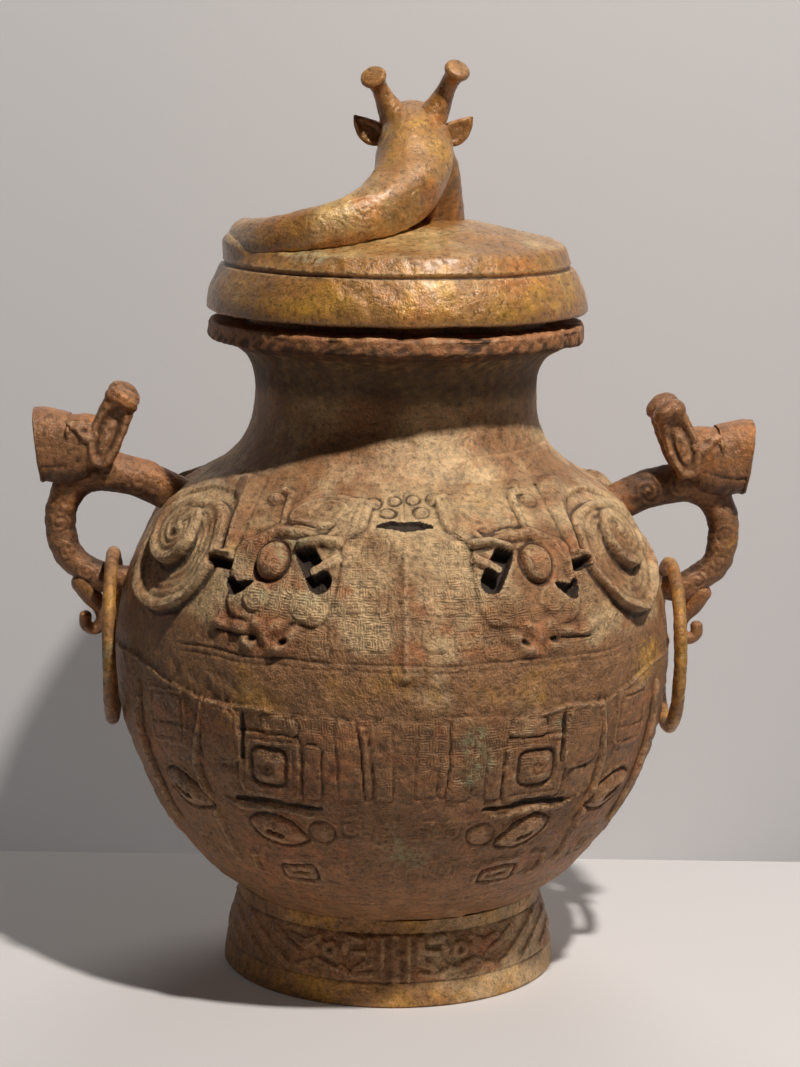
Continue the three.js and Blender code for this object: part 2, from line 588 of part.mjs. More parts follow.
// The jar: a turned wall with rim and floor, an upright ridge in front and behind, the masks on the lower
// belly, and holes for the tenons
function jar() {
  const rimArc = [];
  for (let degrees = -45; degrees <= 90; degrees += 45) {
    const out = RIM_RADIUS - RIM_ROUND + RIM_ROUND * Math.cos(rad(degrees));
    rimArc.push(point(out, RIM_LEVEL - RIM_ROUND + RIM_ROUND * Math.sin(rad(degrees))));
  }
  const floor = FOOT_HEIGHT - REGISTER_DEPTH;
  const register = FOOT_TOP_RADIUS - FOOT_WALL - CLEARANCE;
  const underside = [point(0, floor), point(register, floor), point(register, FOOT_HEIGHT)];
  const mouth = [point(MOUTH_RADIUS, RIM_LEVEL), point(THROAT_RADIUS, THROAT_LEVEL)];
  const inside = insideProfile(0).reverse();
  let made = solid(revolve([...underside, ...jarProfile(OUTER_STEPS), ...rimArc, ...mouth, ...inside]));

  const keepOut = jarForm(-WALL / 2);
  const ridgeSection = () => ({ half: RIDGE_WIDTH / 2, rise: RIDGE_PROUD, power: 0.8 });
  for (const azimuth of [0, 180]) {
    const course = [];
    for (let i = 0; i <= RIDGE_STEPS; i++) {
      const level = THREE.MathUtils.lerp(RIDGE_LOW, RIDGE_HIGH, i / RIDGE_STEPS);
      course.push(onBelly(azimuth, level, 0));
    }
    const curve = new THREE.CatmullRomCurve3(course);
    const ridge = loft(curve, RIDGE_STEPS, 6, ridgeSection, () => place(1, 0, 0));
    made = made.add(ridge.subtract(keepOut));
  }
  const quarter = maskForm();
  for (const [flip, turn] of [[1, 1], [-1, 1], [1, -1], [-1, -1]]) {
    made = made.add(quarter.scale([flip, turn, 1]));
  }
  for (const { hole } of [armTenon, barTenon, ...leftTenons, ...tipTenons]) {
    made = made.subtract(hole);
  }
  return piece("jar", made.simplify(SLIVER), bronze(JAR_BRONZE, 0.72));
}

// The foot: a flared ring that takes the jar's floor in its top
function footRing() {
  const top = FOOT_HEIGHT - CLEARANCE;
  const outside = new THREE.QuadraticBezierCurve(
    point(FOOT_RADIUS, 0),
    point(FOOT_TOP_RADIUS + 0.45 * (FOOT_RADIUS - FOOT_TOP_RADIUS), 0.6 * FOOT_HEIGHT),
    point(FOOT_TOP_RADIUS, top),
  ).getPoints(5);
  const seat = FOOT_TOP_RADIUS - FOOT_WALL;
  const inside = [
    point(seat, top),
    point(seat, top - 2 * REGISTER_DEPTH),
    point(FOOT_RADIUS - FOOT_WALL, 0),
  ];
  const made = solid(revolve([...outside, ...inside, outside[0]]));
  return piece("foot_ring", made, bronze(JAR_BRONZE, 0.7));
}

// One shoulder dragon: a body coiled like a snail, an eye, a curled nose and an open jaw, cast in one
function shoulderDragonForm() {
  const coilSpot = (t) => {
    const turned = rad(COILED_BODY_FROM - t * COILED_BODY_TURNS * 360);
    const shrink = 1 - COIL_DRAW_IN * Math.max(t, 0) ** COIL_DRAW_POWER;
    const aside = shrink * COILED_BODY_HALF_WIDTH * Math.cos(turned);
    const level = COILED_BODY_LEVEL + shrink * COILED_BODY_HALF_HEIGHT * Math.sin(turned);
    return [COILED_BODY_AZIMUTH + spread(aside, COILED_BODY_LEVEL), level];
  };
  const coilHalf = (t) => THREE.MathUtils.lerp(BAND_HALF, COIL_TIP_HALF, t);
  const coilProud = (t) => THREE.MathUtils.lerp(BAND_PROUD, COIL_TIP_PROUD, t ** 3);
  const body = bandOnBelly(coilSpot, 19, coilHalf, coilProud);

  const curlSpot = (t) => {
    const turned = rad(30 + t * 330);
    const reach = NOSE_CURL_RADIUS * (1 - 0.5 * t);
    const level = NOSE_CURL_LEVEL - 0.7 * NOSE_CURL_RADIUS + 0.75 * reach * Math.sin(turned);
    return [NOSE_CURL_AZIMUTH + spread(reach * Math.cos(turned), NOSE_CURL_LEVEL), level];
  };
  const noseHalf = () => 0.6 * BAND_HALF;
  const lowBand = () => 0.7 * BAND_PROUD;
  const nose = bandOnBelly(curlSpot, 7, noseHalf, lowBand);

  const [browAzimuth, browLevel] = curlSpot(0);
  const [neckAzimuth, neckLevel] = coilSpot(0);
  const cheekSpot = (t) => {
    const bow = Math.sin(Math.PI * t) * spread(DRAGON_EYE_RADIUS, DRAGON_EYE_LEVEL) * 0.9;
    const azimuth = THREE.MathUtils.lerp(browAzimuth, neckAzimuth, t) + bow;
    return [azimuth, THREE.MathUtils.lerp(browLevel, neckLevel, t)];
  };
  const cheek = bandOnBelly(cheekSpot, 4, () => BAND_HALF, () => 0.8 * BAND_PROUD);

  const jawSpot = (t) => {
    const level = THREE.MathUtils.lerp(neckLevel, JAW_LEVEL, t) + JAW_WAVE * Math.sin(1.6 * Math.PI * t);
    return [THREE.MathUtils.lerp(neckAzimuth, NOSE_CURL_AZIMUTH, t), level];
  };
  const jaw = bandOnBelly(jawSpot, 5, () => 0.8 * BAND_HALF, lowBand);

  const eyeArc = new THREE.EllipseCurve(0, 0, DRAGON_EYE_RADIUS, DRAGON_EYE_PROUD, 0, Math.PI / 2);
  const eyeDome = new THREE.LatheGeometry([point(0, 0), ...eyeArc.getPoints(4)], SMALL_ROUND);
  const eyeAway = awayFromBelly(DRAGON_EYE_AZIMUTH, DRAGON_EYE_LEVEL);
  eyeDome.applyQuaternion(new THREE.Quaternion().setFromUnitVectors(place(0, 1, 0), eyeAway));
  const eyeAt = onBelly(DRAGON_EYE_AZIMUTH, DRAGON_EYE_LEVEL, 2 * CLEARANCE);
  const eye = solid(eyeDome.translate(eyeAt.x, eyeAt.y, eyeAt.z));
  return body.add(nose).add(cheek).add(jaw).add(eye);
}

// The four dragons of the shoulder: two facing the ridge in front and two behind
function shoulderDragons() {
  const group = new THREE.Group();
  const form = shoulderDragonForm();
  for (const [depth, turn] of Object.entries({ front: 1, back: -1 })) {
    for (const [side, flip] of Object.entries({ right: 1, left: -1 })) {
      const made = piece(`dragon_${depth}_${side}`, form, bronze(JAR_BRONZE, 0.7));
      made.scale.set(flip, turn, 1);
      group.add(made);
    }
  }
  return group;
}

// The lid's outer face, grown by a distance, from its edge to the middle of its top
const LID_EDGE = RIM_LEVEL + LID_GAP;
const lidGrooveRadius = LID_RADIUS - LID_GROOVE_INSET;
const lidShoulderRadius = lidGrooveRadius - LID_SHOULDER_INSET;
function lidProfile(grow) {
  const groove = point(lidGrooveRadius, LID_EDGE + LID_GROOVE_RISE);
  const side = new THREE.QuadraticBezierCurve(
    point(LID_RADIUS, LID_EDGE + LID_LIP),
    point(LID_RADIUS - LID_BULGE_IN, LID_EDGE + 0.6 * LID_GROOVE_RISE),
    groove,
  ).getPoints(3);
  const shoulder = point(lidShoulderRadius, LID_EDGE + LID_SHOULDER_RISE);
  const crown = point(LID_CROWN_RADIUS, LID_EDGE + LID_CROWN_RISE);
  const top = point(grow, LID_EDGE + LID_TOP_RISE);
  return sidestep([point(LID_RADIUS, LID_EDGE), ...side, shoulder, crown, top], grow);
}

// The lid: a low flat-topped dome with a tapered collar that sits in the mouth
function lidShell() {
  const outside = lidProfile(0);
  const collarOut = (level) => mouthRadius(level) - CLEARANCE;
  const foot = RIM_LEVEL - SPIGOT_DEPTH + LID_GAP;
  const collar = [point(collarOut(foot) - LID_WALL, foot), point(collarOut(foot), foot),
    point(collarOut(LID_EDGE), LID_EDGE)];
  const vault = sidestep(outside, -LID_WALL).slice(2, -1).reverse();
  const shelf = LID_EDGE + LID_WALL;
  const inside = [point(0, LID_EDGE + LID_TOP_RISE - LID_WALL), ...vault,
    point(LID_RADIUS - 2 * LID_WALL, shelf), point(collarOut(foot) - LID_WALL, shelf)];
  const made = solid(revolve([...collar, ...outside, ...inside, collar[0]]));
  return piece("lid", made, bronze(LID_BRONZE, 0.5));
}

// The level of the lid's flat cone at a radius
function coneLevel(out) {
  const inwards = (lidShoulderRadius - out) / (lidShoulderRadius - LID_CROWN_RADIUS);
  return LID_EDGE + THREE.MathUtils.lerp(LID_SHOULDER_RISE, LID_CROWN_RISE, inwards);
}

// The coil: a band that grows out of the lid's shoulder at the tail and goes once round it. It is laid out
// in the same steps as the lid's own facets, so that both faces run parallel.
const facetAngle = (facet) => rad((facet * 360) / ROUND);
function coilForm() {
  const groove = LID_EDGE + LID_GROOVE_RISE;
  const rings = [];
  for (let facet = COIL_FIRST_FACET; facet <= COIL_LAST_FACET; facet++) {
    const t = (facet - COIL_FIRST_FACET) / (COIL_LAST_FACET - COIL_FIRST_FACET);
    const azimuth = facetAngle(facet);
    const at = (out, level) => place(out * Math.sin(azimuth), -out * Math.cos(azimuth), level);
    const rise = THREE.MathUtils.lerp(COIL_TAIL_PROUD, COIL_PROUD, t);
    const crest = lidShoulderRadius - 0.75 * rise;
    const inner = crest - COIL_WIDTH * Math.min(1, 0.2 + 1.3 * t);
    const seat = 1.2 * CLEARANCE;
    rings.push([
      at(lidGrooveRadius + seat, groove),
      at(lidShoulderRadius + seat, LID_EDGE + LID_SHOULDER_RISE + seat),
      at(inner, coneLevel(inner) + seat),
      at(inner, coneLevel(inner) + COIL_TAIL_PROUD),
      at(crest, LID_EDGE + LID_SHOULDER_RISE + rise + COIL_TAIL_PROUD),
      at(lidGrooveRadius + COIL_TAIL_PROUD, groove + COIL_TAIL_PROUD),
    ]);
  }
  return skin(rings);
}

// The neck leaves the coil at the front left, sweeps up across the front and ends at the nape
const nape = place(HEAD_X + 0.1 * NAPE_HALF, -0.26 * NAPE_HALF, HEAD_LEVEL - 0.32 * NAPE_HALF);
function neckForm() {
  const onCoil = (facet, out, lift) => {
    const azimuth = facetAngle(facet);
    return place(out * Math.sin(azimuth), -out * Math.cos(azimuth), coneLevel(out) + lift);
  };
  const middle = lidShoulderRadius - 0.45 * COIL_WIDTH;
  const leaving = onCoil(COIL_LAST_FACET, middle, 0.3 * NECK_HALF);
  const course = new THREE.CatmullRomCurve3([
    onCoil(COIL_LAST_FACET - 3, middle, -0.4 * NECK_HALF),
    leaving,
    leaving.clone().lerp(nape, 0.4).add(place(-0.1 * NECK_HALF, -1.2 * NECK_HALF, -0.5 * NECK_HALF)),
    leaving.clone().lerp(nape, 0.72).add(place(0.2 * NECK_HALF, -1.1 * NECK_HALF, -0.6 * NECK_HALF)),
    nape,
    nape.clone().add(place(0, 0.5 * HEAD_HALF, 0.45 * HEAD_HALF)),
  ]);
  const neckHalves = [0.9, 1, 1.1].map((share) => share * NECK_HALF);
  const napeHalves = [0.85, 1, 0.7].map((share) => share * NAPE_HALF);
  const halves = [...neckHalves, ...napeHalves];
  const section = (t) => ({ half: between(halves, t), rise: between(halves, t), power: 0.85 });
  return loft(course, 13, 10, section, () => place(0.5, -0.8, 0.1));
}

// Chest and two bent forelegs under the head, on the far side of the lid
function chestForm() {
  const acrossLid = () => place(1, 0, 0);
  const floor = LID_EDGE + LID_CROWN_RISE - LID_WALL;
  const breast = new THREE.LineCurve3(nape, place(HEAD_X, CHEST_FORWARD, floor));
  const chestSection = (t) => ({ half: 0.9 * NAPE_HALF, rise: (0.75 + 0.2 * t) * NAPE_HALF });
  let made = loft(breast, 3, 8, chestSection, acrossLid);
  for (const sideways of [-1, 1]) {
    const shoulderLevel = 0.5 * (HEAD_LEVEL + floor);
    const shoulder = place(HEAD_X + sideways * 0.6 * NAPE_HALF, 0.6 * CHEST_FORWARD, shoulderLevel);
    const elbow = shoulder.clone().add(place(sideways * FORELEG_HALF, FORELEG_HALF, -0.5 * FORELEG_HALF));
    const pawOut = lidShoulderRadius - COIL_WIDTH - FORELEG_HALF;
    const paw = place(elbow.x, pawOut, floor + 0.6 * FORELEG_HALF);
    const limb = new THREE.CatmullRomCurve3([shoulder, elbow, paw]);
    const legSection = (t) => ({ half: FORELEG_HALF * (1 - 0.25 * t), rise: FORELEG_HALF * (1 - 0.2 * t) });
    made = made.add(loft(limb, 5, 6, legSection, acrossLid));
  }
  return made;
}

// The head looks away over the back of the lid; it is cast over the top of the neck
function dragonHeadForm(grow) {
  const course = new THREE.CatmullRomCurve3([
    place(HEAD_X, -0.16 * HEAD_LENGTH, HEAD_LEVEL + 0.15 * HEAD_HALF),
    place(HEAD_X, 0.2 * HEAD_LENGTH, HEAD_LEVEL + 0.05 * HEAD_HALF),
    place(HEAD_X, 0.5 * HEAD_LENGTH, HEAD_LEVEL - 0.2 * HEAD_HALF),
    place(HEAD_X, 0.84 * HEAD_LENGTH, HEAD_LEVEL - 0.35 * HEAD_HALF),
  ]);
  const widths = [0.75, 1.05, 0.95, 0.72, 0.8].map((share) => share * HEAD_HALF);
  const rises = [0.6, 0.95, 0.88, 0.66, 0.72].map((share) => share * HEAD_HALF);
  const section = (t) => ({ half: between(widths, t) + grow, rise: between(rises, t) + grow, power: 0.8 });
  return loft(course, 8, 10, section, () => place(1, 0, 0));
}

// A place on a horn's axis, from its foot on the head
function hornPlace(sideways, along) {
  const lean = place(sideways * Math.sin(rad(HORN_SPREAD)), 0, Math.cos(rad(HORN_SPREAD)));
  const foot = place(HEAD_X + sideways * HORN_OFFSET, 0.2 * HEAD_HALF, HEAD_LEVEL + 0.72 * HEAD_HALF);
  return foot.addScaledVector(lean, along);
}

// A horn shaped like a bottle: broad foot, drawn-in waist and a flat disc on top
function hornForm(sideways) {
  const flank = new THREE.SplineCurve([
    point(HORN_BASE_RADIUS, 0),
    point(0.8 * HORN_BASE_RADIUS, 0.3 * HORN_LENGTH),
    point(HORN_WAIST_RADIUS, 0.7 * HORN_LENGTH),
    point(HORN_DISC_RADIUS, HORN_LENGTH - HORN_DISC_THICKNESS),
  ]).getPoints(5);
  const foot = [point(0, -HORN_BASE_RADIUS), point(HORN_BASE_RADIUS, -HORN_BASE_RADIUS)];
  const cap = [point(HORN_DISC_RADIUS, HORN_LENGTH), point(0, HORN_LENGTH)];
  const base = hornPlace(sideways, 0);
  const turned = revolve([...foot, ...flank, ...cap], SMALL_ROUND).rotateY(sideways * rad(HORN_SPREAD));
  return solid(turned.translate(base.x, base.y, base.z));
}

// A pointed ear on the side of the head, with its hollow towards the back
function dragonEarForm(sideways) {
  const root = place(HEAD_X + sideways * 0.8 * HEAD_HALF, 0.5 * HEAD_HALF, HEAD_LEVEL);
  const tip = root.clone().add(place(sideways * DRAGON_EAR_LENGTH * 0.8, 0, DRAGON_EAR_LENGTH * 0.6));
  const rises = [0.36, 0.42, 0.34, 0.06].map((share) => share * DRAGON_EAR_LENGTH);
  const section = (t) => ({ half: DRAGON_EAR_LENGTH * (0.16 - 0.1 * t), rise: between(rises, t) });
  return loft(new THREE.LineCurve3(root, tip), 6, 8, section, () => place(0, 1, 0));
}

// The lid with everything that lifts off with it
function lidAndDragon() {
  const group = new THREE.Group();
  const gold = () => bronze(LID_BRONZE, 0.5);
  group.add(lidShell());
  const keep = lidProfile(2.5 * CLEARANCE);
  const lidKeep = solid(revolve([point(0, keep[0].y), ...keep, point(0, keep[keep.length - 1].y)]));
  const headKeep = dragonHeadForm(CLEARANCE);
  const risen = neckForm().add(chestForm()).subtract(lidKeep);
  const body = coilForm().add(risen).subtract(headKeep);
  group.add(piece("dragon_body", body, gold()));

  const mouthCut = new THREE.BoxGeometry(3 * HEAD_HALF, 0.4 * HEAD_LENGTH, 0.2 * HEAD_HALF);
  mouthCut.translate(HEAD_X, 0.84 * HEAD_LENGTH, HEAD_LEVEL - 0.55 * HEAD_HALF);
  let head = dragonHeadForm(0).subtract(solid(mouthCut));
  for (const [side, sideways] of Object.entries({ left: -1, right: 1 })) {
    const eyeX = HEAD_X + sideways * 0.85 * HEAD_HALF;
    const eye = place(eyeX, 0.34 * HEAD_LENGTH, HEAD_LEVEL + 0.35 * HEAD_HALF);
    head = head.add(boss(eye, place(1, 1, 1).multiplyScalar(0.24 * HEAD_HALF)));
    const pegEnd = hornPlace(sideways, -PEG_LENGTH);
    const pegTop = hornPlace(sideways, 0.3 * HORN_LENGTH);
    const peg = rod(pegEnd, pegTop, PEG_RADIUS);
    const socket = rod(hornPlace(sideways, -PEG_LENGTH - CLEARANCE), pegTop, PEG_RADIUS + CLEARANCE);
    head = head.subtract(socket);
    group.add(piece(`horn_${side}`, hornForm(sideways).subtract(headKeep).add(peg), gold()));
    const hornKeep = rod(hornPlace(sideways, -HORN_BASE_RADIUS), pegTop, HORN_BASE_RADIUS + CLEARANCE);
    const ear = dragonEarForm(sideways).subtract(headKeep).subtract(hornKeep).subtract(body);
    group.add(piece(`dragon_ear_${side}`, ear, gold()));
  }
  group.add(piece("dragon_head", head, gold()));
  return group;
}

const lei = new THREE.Group();
lei.name = "lei";
lei.add(jar());
lei.add(footRing());
lei.add(shoulderDragons());
lei.add(ringHandle("right"));
const leftHandle = ringHandle("left");
leftHandle.scale.x = -1;
lei.add(leftHandle);
lei.add(tippingHandle());
lei.add(lidAndDragon());

export default lei;
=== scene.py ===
import math

import bmesh
import bpy
import numpy as np
from mathutils import Matrix, Vector


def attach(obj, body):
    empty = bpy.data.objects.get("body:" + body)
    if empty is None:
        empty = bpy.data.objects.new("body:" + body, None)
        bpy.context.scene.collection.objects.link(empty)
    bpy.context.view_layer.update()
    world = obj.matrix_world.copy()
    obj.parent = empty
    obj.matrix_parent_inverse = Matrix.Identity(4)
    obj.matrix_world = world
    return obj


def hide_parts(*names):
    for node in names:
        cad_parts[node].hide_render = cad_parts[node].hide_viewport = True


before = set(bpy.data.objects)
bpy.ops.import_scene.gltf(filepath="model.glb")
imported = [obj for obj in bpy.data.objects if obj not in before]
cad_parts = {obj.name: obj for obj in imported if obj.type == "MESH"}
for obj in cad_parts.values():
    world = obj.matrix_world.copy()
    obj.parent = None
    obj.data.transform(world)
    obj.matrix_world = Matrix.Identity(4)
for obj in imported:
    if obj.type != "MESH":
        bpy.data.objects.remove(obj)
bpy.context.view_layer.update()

# The studio: a pale table with a pale paper wall close behind it, one lamp high on the right in front, weaker
# ones on the left and behind, and a dim room around. The camera stands where the photograph was taken.
# Lengths in this file are in millimetres unless a name or comment says metres.
METRES = 0.001
TURNED = math.radians(-2.8)  # the jar stands turned a little to the right
CAMERA_AWAY = 1500
CAMERA_ASIDE = 3.4
CAMERA_HEIGHT = 510
CAMERA_DOWN = math.radians(10.18)
CAMERA_ROLL = math.radians(0.78)
FOCAL_PIXELS = 2770  # in an image of 800 by 1067 pixels
IMAGE_HEIGHT = 1067
LAMPS = {  # azimuth from the camera's side, elevation, metres away, metres wide, irradiance and colour
    "key_lamp": (36, 58.5, 2.4, 0.12, 3.1, (1.0, 0.97, 0.93)),
    "left_lamp": (-70, 25, 2.6, 1.2, 0.02, (0.95, 0.97, 1.0)),
    "back_lamp": (170, 40, 2.6, 1.4, 0.85, (1.0, 0.98, 0.95)),
}
LAMPS_AIM = 240  # level at which they look
ROOM_COLOUR = (1.0, 0.97, 0.94)
ROOM_STRENGTH = 0.013
HALF_TABLE = 4000
WALL_BEHIND = 186
WALL_COLOUR = (0.66, 0.635, 0.63)
TABLE_COLOUR = (0.74, 0.70, 0.68)
UNSEEN_COLOUR = (0.07, 0.065, 0.06)  # of the paper far from the jar, for the light that it throws back
NEAR_TABLE = (0.17, 0.32)  # metres from the jar's foot within which the paper throws its full light back
WALL_GLOW = 0.12  # pale light of the paper that only the camera and reflections see
TABLE_GLOW = 0.03
PAPER_ROUGHNESS = 0.9

scene = bpy.context.scene
scene.view_settings.view_transform = "Standard"
turn_to_camera = Matrix.Rotation(TURNED, 4, "Z")

camera_data = bpy.data.cameras.new("camera")
camera_data.lens = camera_data.sensor_width * FOCAL_PIXELS / IMAGE_HEIGHT
camera = bpy.data.objects.new("camera", camera_data)
camera_place = Vector((CAMERA_ASIDE, -CAMERA_AWAY, CAMERA_HEIGHT)) * METRES
looking = Matrix.Rotation(math.pi / 2 - CAMERA_DOWN, 4, "X") @ Matrix.Rotation(CAMERA_ROLL, 4, "Z")
camera.matrix_world = turn_to_camera @ Matrix.Translation(camera_place) @ looking
scene.collection.objects.link(camera)
scene.camera = camera


def lamp(name, azimuth, elevation, metres_away, metres_wide, irradiance, colour):
    """A round lamp that looks at the jar from an azimuth (0 is the camera's side), lit to an irradiance."""
    data = bpy.data.lights.new(name, "AREA")
    data.shape = "DISK"
    data.size = metres_wide
    data.energy = irradiance * math.pi * metres_away**2
    data.color = colour
    made = bpy.data.objects.new(name, data)
    a, e = math.radians(azimuth), math.radians(elevation)
    towards = Vector((math.sin(a) * math.cos(e), -math.cos(a) * math.cos(e), math.sin(e)))
    aim = Vector((0, 0, LAMPS_AIM * METRES))
    facing = towards.to_track_quat("Z", "Y").to_matrix().to_4x4()
    made.matrix_world = turn_to_camera @ Matrix.Translation(aim + towards * metres_away) @ facing
    scene.collection.objects.link(made)


for name, values in LAMPS.items():
    lamp(name, *values)

room = bpy.data.worlds.new("room")
room.use_nodes = True
room.node_tree.nodes["Background"].inputs["Color"].default_value = (*ROOM_COLOUR, 1)
room.node_tree.nodes["Background"].inputs["Strength"].default_value = ROOM_STRENGTH
scene.world = room


class Varying:
    """A value that varies over a surface: the output of a node, on which +, -, * and / add Math nodes."""

    def __init__(self, socket):
        self.socket = socket

    def then(self, operation, other=0.0, swapped=False):
        """This value put through one operation with another; swapped, the other comes first."""
        first, second = (other, self) if swapped else (self, other)
        settings = {"operation": operation}
        return Varying(put(self.socket.id_data, "ShaderNodeMath", settings, i0=first, i1=second).outputs[0])

    def __add__(self, other):
        return self.then("ADD", other)

    def __sub__(self, other):
        return self.then("SUBTRACT", other)

    def __rsub__(self, other):
        return self.then("SUBTRACT", other, swapped=True)

    def __mul__(self, other):
        return self.then("MULTIPLY", other)

    def __truediv__(self, other):
        return self.then("DIVIDE", other)

    __radd__, __rmul__ = __add__, __mul__


def put(tree, kind, settings=None, **feeds):
    """Adds a node, sets its properties, and feeds its inputs with values or other nodes' outputs. An input
    is named with _ for a space, or i and its number."""
    made = tree.nodes.new(kind)
    for key, value in (settings or {}).items():
        setattr(made, key, value)
    for key, value in feeds.items():
        numbered = key[0] == "i" and key[1:].isdigit()
        socket = made.inputs[int(key[1:])] if numbered else made.inputs[key.replace("_", " ")]
        value = value.socket if isinstance(value, Varying) else value
        if isinstance(value, bpy.types.NodeSocket):
            tree.links.new(value, socket)
        else:
            socket.default_value = value
    return made


def mixed(tree, share, first, second, how="MIX"):
    """Mixes two colours by a share."""
    settings = {"data_type": "RGBA", "blend_type": how, "clamp_factor": True}
    return put(tree, "ShaderNodeMix", settings, i0=share, i6=first, i7=second).outputs[2]


def paper_sheet(name, corners, colour, glows, one_sided):
    """A flat four-cornered sheet of matt paper; one-sided paper can't be seen from behind."""
    mesh = bpy.data.meshes.new(name)
    mesh.from_pydata([Vector(corner) * METRES for corner in corners], [], [(0, 1, 2, 3)])
    paper = bpy.data.materials.new(name)
    paper.use_nodes = True
    tree = paper.node_tree
    shader = tree.nodes["Principled BSDF"]
    shader.inputs["Roughness"].default_value = PAPER_ROUGHNESS
    shader.inputs["Emission Color"].default_value = (*colour, 1)
    rays = put(tree, "ShaderNodeLightPath").outputs
    shown = Varying(rays["Is Camera Ray"])
    for ray in ("Is Glossy Ray", "Is Transmission Ray"):
        shown = shown.then("MAXIMUM", rays[ray])
    place = put(tree, "ShaderNodeTexCoord").outputs["Object"]
    away = put(tree, "ShaderNodeVectorMath", {"operation": "LENGTH"}, i0=place).outputs["Value"]
    full, none = NEAR_TABLE
    near = put(tree, "ShaderNodeMapRange", Value=away, From_Min=none, From_Max=full).outputs["Result"]
    tint = mixed(tree, shown.then("MAXIMUM", near), (*UNSEEN_COLOUR, 1), (*colour, 1))
    tree.links.new(tint, shader.inputs["Base Color"])
    tree.links.new((shown * (glows / max(colour))).socket, shader.inputs["Emission Strength"])
    if one_sided:
        behind = put(tree, "ShaderNodeNewGeometry").outputs["Backfacing"]
        clear = put(tree, "ShaderNodeBsdfTransparent").outputs["BSDF"]
        either = put(tree, "ShaderNodeMixShader", i0=behind, i1=shader.outputs["BSDF"], i2=clear)
        tree.links.new(either.outputs["Shader"], tree.nodes["Material Output"].inputs["Surface"])
    mesh.materials.append(paper)
    made = bpy.data.objects.new(name, mesh)
    scene.collection.objects.link(made)
    made.matrix_world = turn_to_camera
    return made


near_left, near_right = (-HALF_TABLE, -HALF_TABLE, 0), (HALF_TABLE, -HALF_TABLE, 0)
far_left, far_right = (-HALF_TABLE, HALF_TABLE, 0), (HALF_TABLE, HALF_TABLE, 0)
paper_sheet("table", [near_left, near_right, far_right, far_left], TABLE_COLOUR, TABLE_GLOW, False)
low_left, low_right = (-HALF_TABLE, WALL_BEHIND, 0), (HALF_TABLE, WALL_BEHIND, 0)
high_left, high_right = (-HALF_TABLE, WALL_BEHIND, HALF_TABLE), (HALF_TABLE, WALL_BEHIND, HALF_TABLE)
wall = paper_sheet("paper_wall", [low_left, low_right, high_right, high_left], WALL_COLOUR, WALL_GLOW, True)
wall.visible_diffuse = False
wall.visible_shadow = False


# The jar: one hollow bronze casting with a round belly, a drawn-in neck and a flat rim, cast in a clay mould
# of several parts. Its wall is a profile turned about Z, and its carving is a height laid on that wall.
# Bronze hides under brown and olive patina with ochre and rust bloom, soot in the recesses and green salts.
# The soot colour also serves as painted shade, and the wear colour on edges partly as a painted highlight.
BELLY_RADIUS = 152
BELLY_LEVEL = 178
LOWER_BELLY_DEPTH = 160
LOWER_BELLY_POWER = 1.9
UPPER_BELLY_RISE = 144
SHOULDER_LEVEL = 262
NECK_RADIUS = 76.5
NECK_LEVEL = 316
NECK_TURN = 19
LIP_TURN = 18
RIM_RADIUS = 102
RIM_LEVEL = 359
RIM_THICKNESS = 10
MOUTH_RADIUS = 82
THROAT_LEVEL = 338
WALL_THICKNESS = 4.5
FOOT_HEIGHT = 46
FLOOR_LEVEL = 44.5
PANEL_TOP = 190  # level of the incised line between belly and shoulder
ORNAMENT_TOP = 283  # the neck is plain above this level
CURVE_STEPS = (240, 90, 60)  # points up the belly, in to the neck and out to the lip
WALL_STEP = 0.5  # between points of the profile
ROUNDED_STEPS = 14  # points on each side over which the turn from shoulder to neck is rounded
ROUNDED_REACH = (16, 26)  # distances from the shoulder's level: fully rounded, and not rounded


def belly_radius(level):
    """Radius of the belly at a level: two ovals that meet at the widest part."""
    below = (np.maximum(0, BELLY_LEVEL - level) / LOWER_BELLY_DEPTH) ** LOWER_BELLY_POWER
    above = (np.maximum(0, level - BELLY_LEVEL) / UPPER_BELLY_RISE) ** 2
    return BELLY_RADIUS * np.sqrt(1 - below - above)


def bezier(corners, steps):
    """Points on a cubic curve: its four corners weighted by the terms of (1 - t + t) cubed."""
    start, first, second, end = (np.array(corner, float) for corner in corners)
    t = np.linspace(0, 1, steps)[:, None]
    return start * (1 - t) ** 3 + first * 3 * t * (1 - t) ** 2 + second * 3 * t**2 * (1 - t) + end * t**3


def length_along(points):
    """Length run along a line of points up to each of them."""
    return np.concatenate([[0], np.cumsum(np.linalg.norm(np.diff(points, axis=0), axis=1))])


def rounded(line, steps):
    """Mean of a line of values over a window of so many on each side."""
    window = np.ones(2 * steps + 1) / (2 * steps + 1)
    return np.convolve(np.pad(line, steps, mode="edge"), window, "valid")


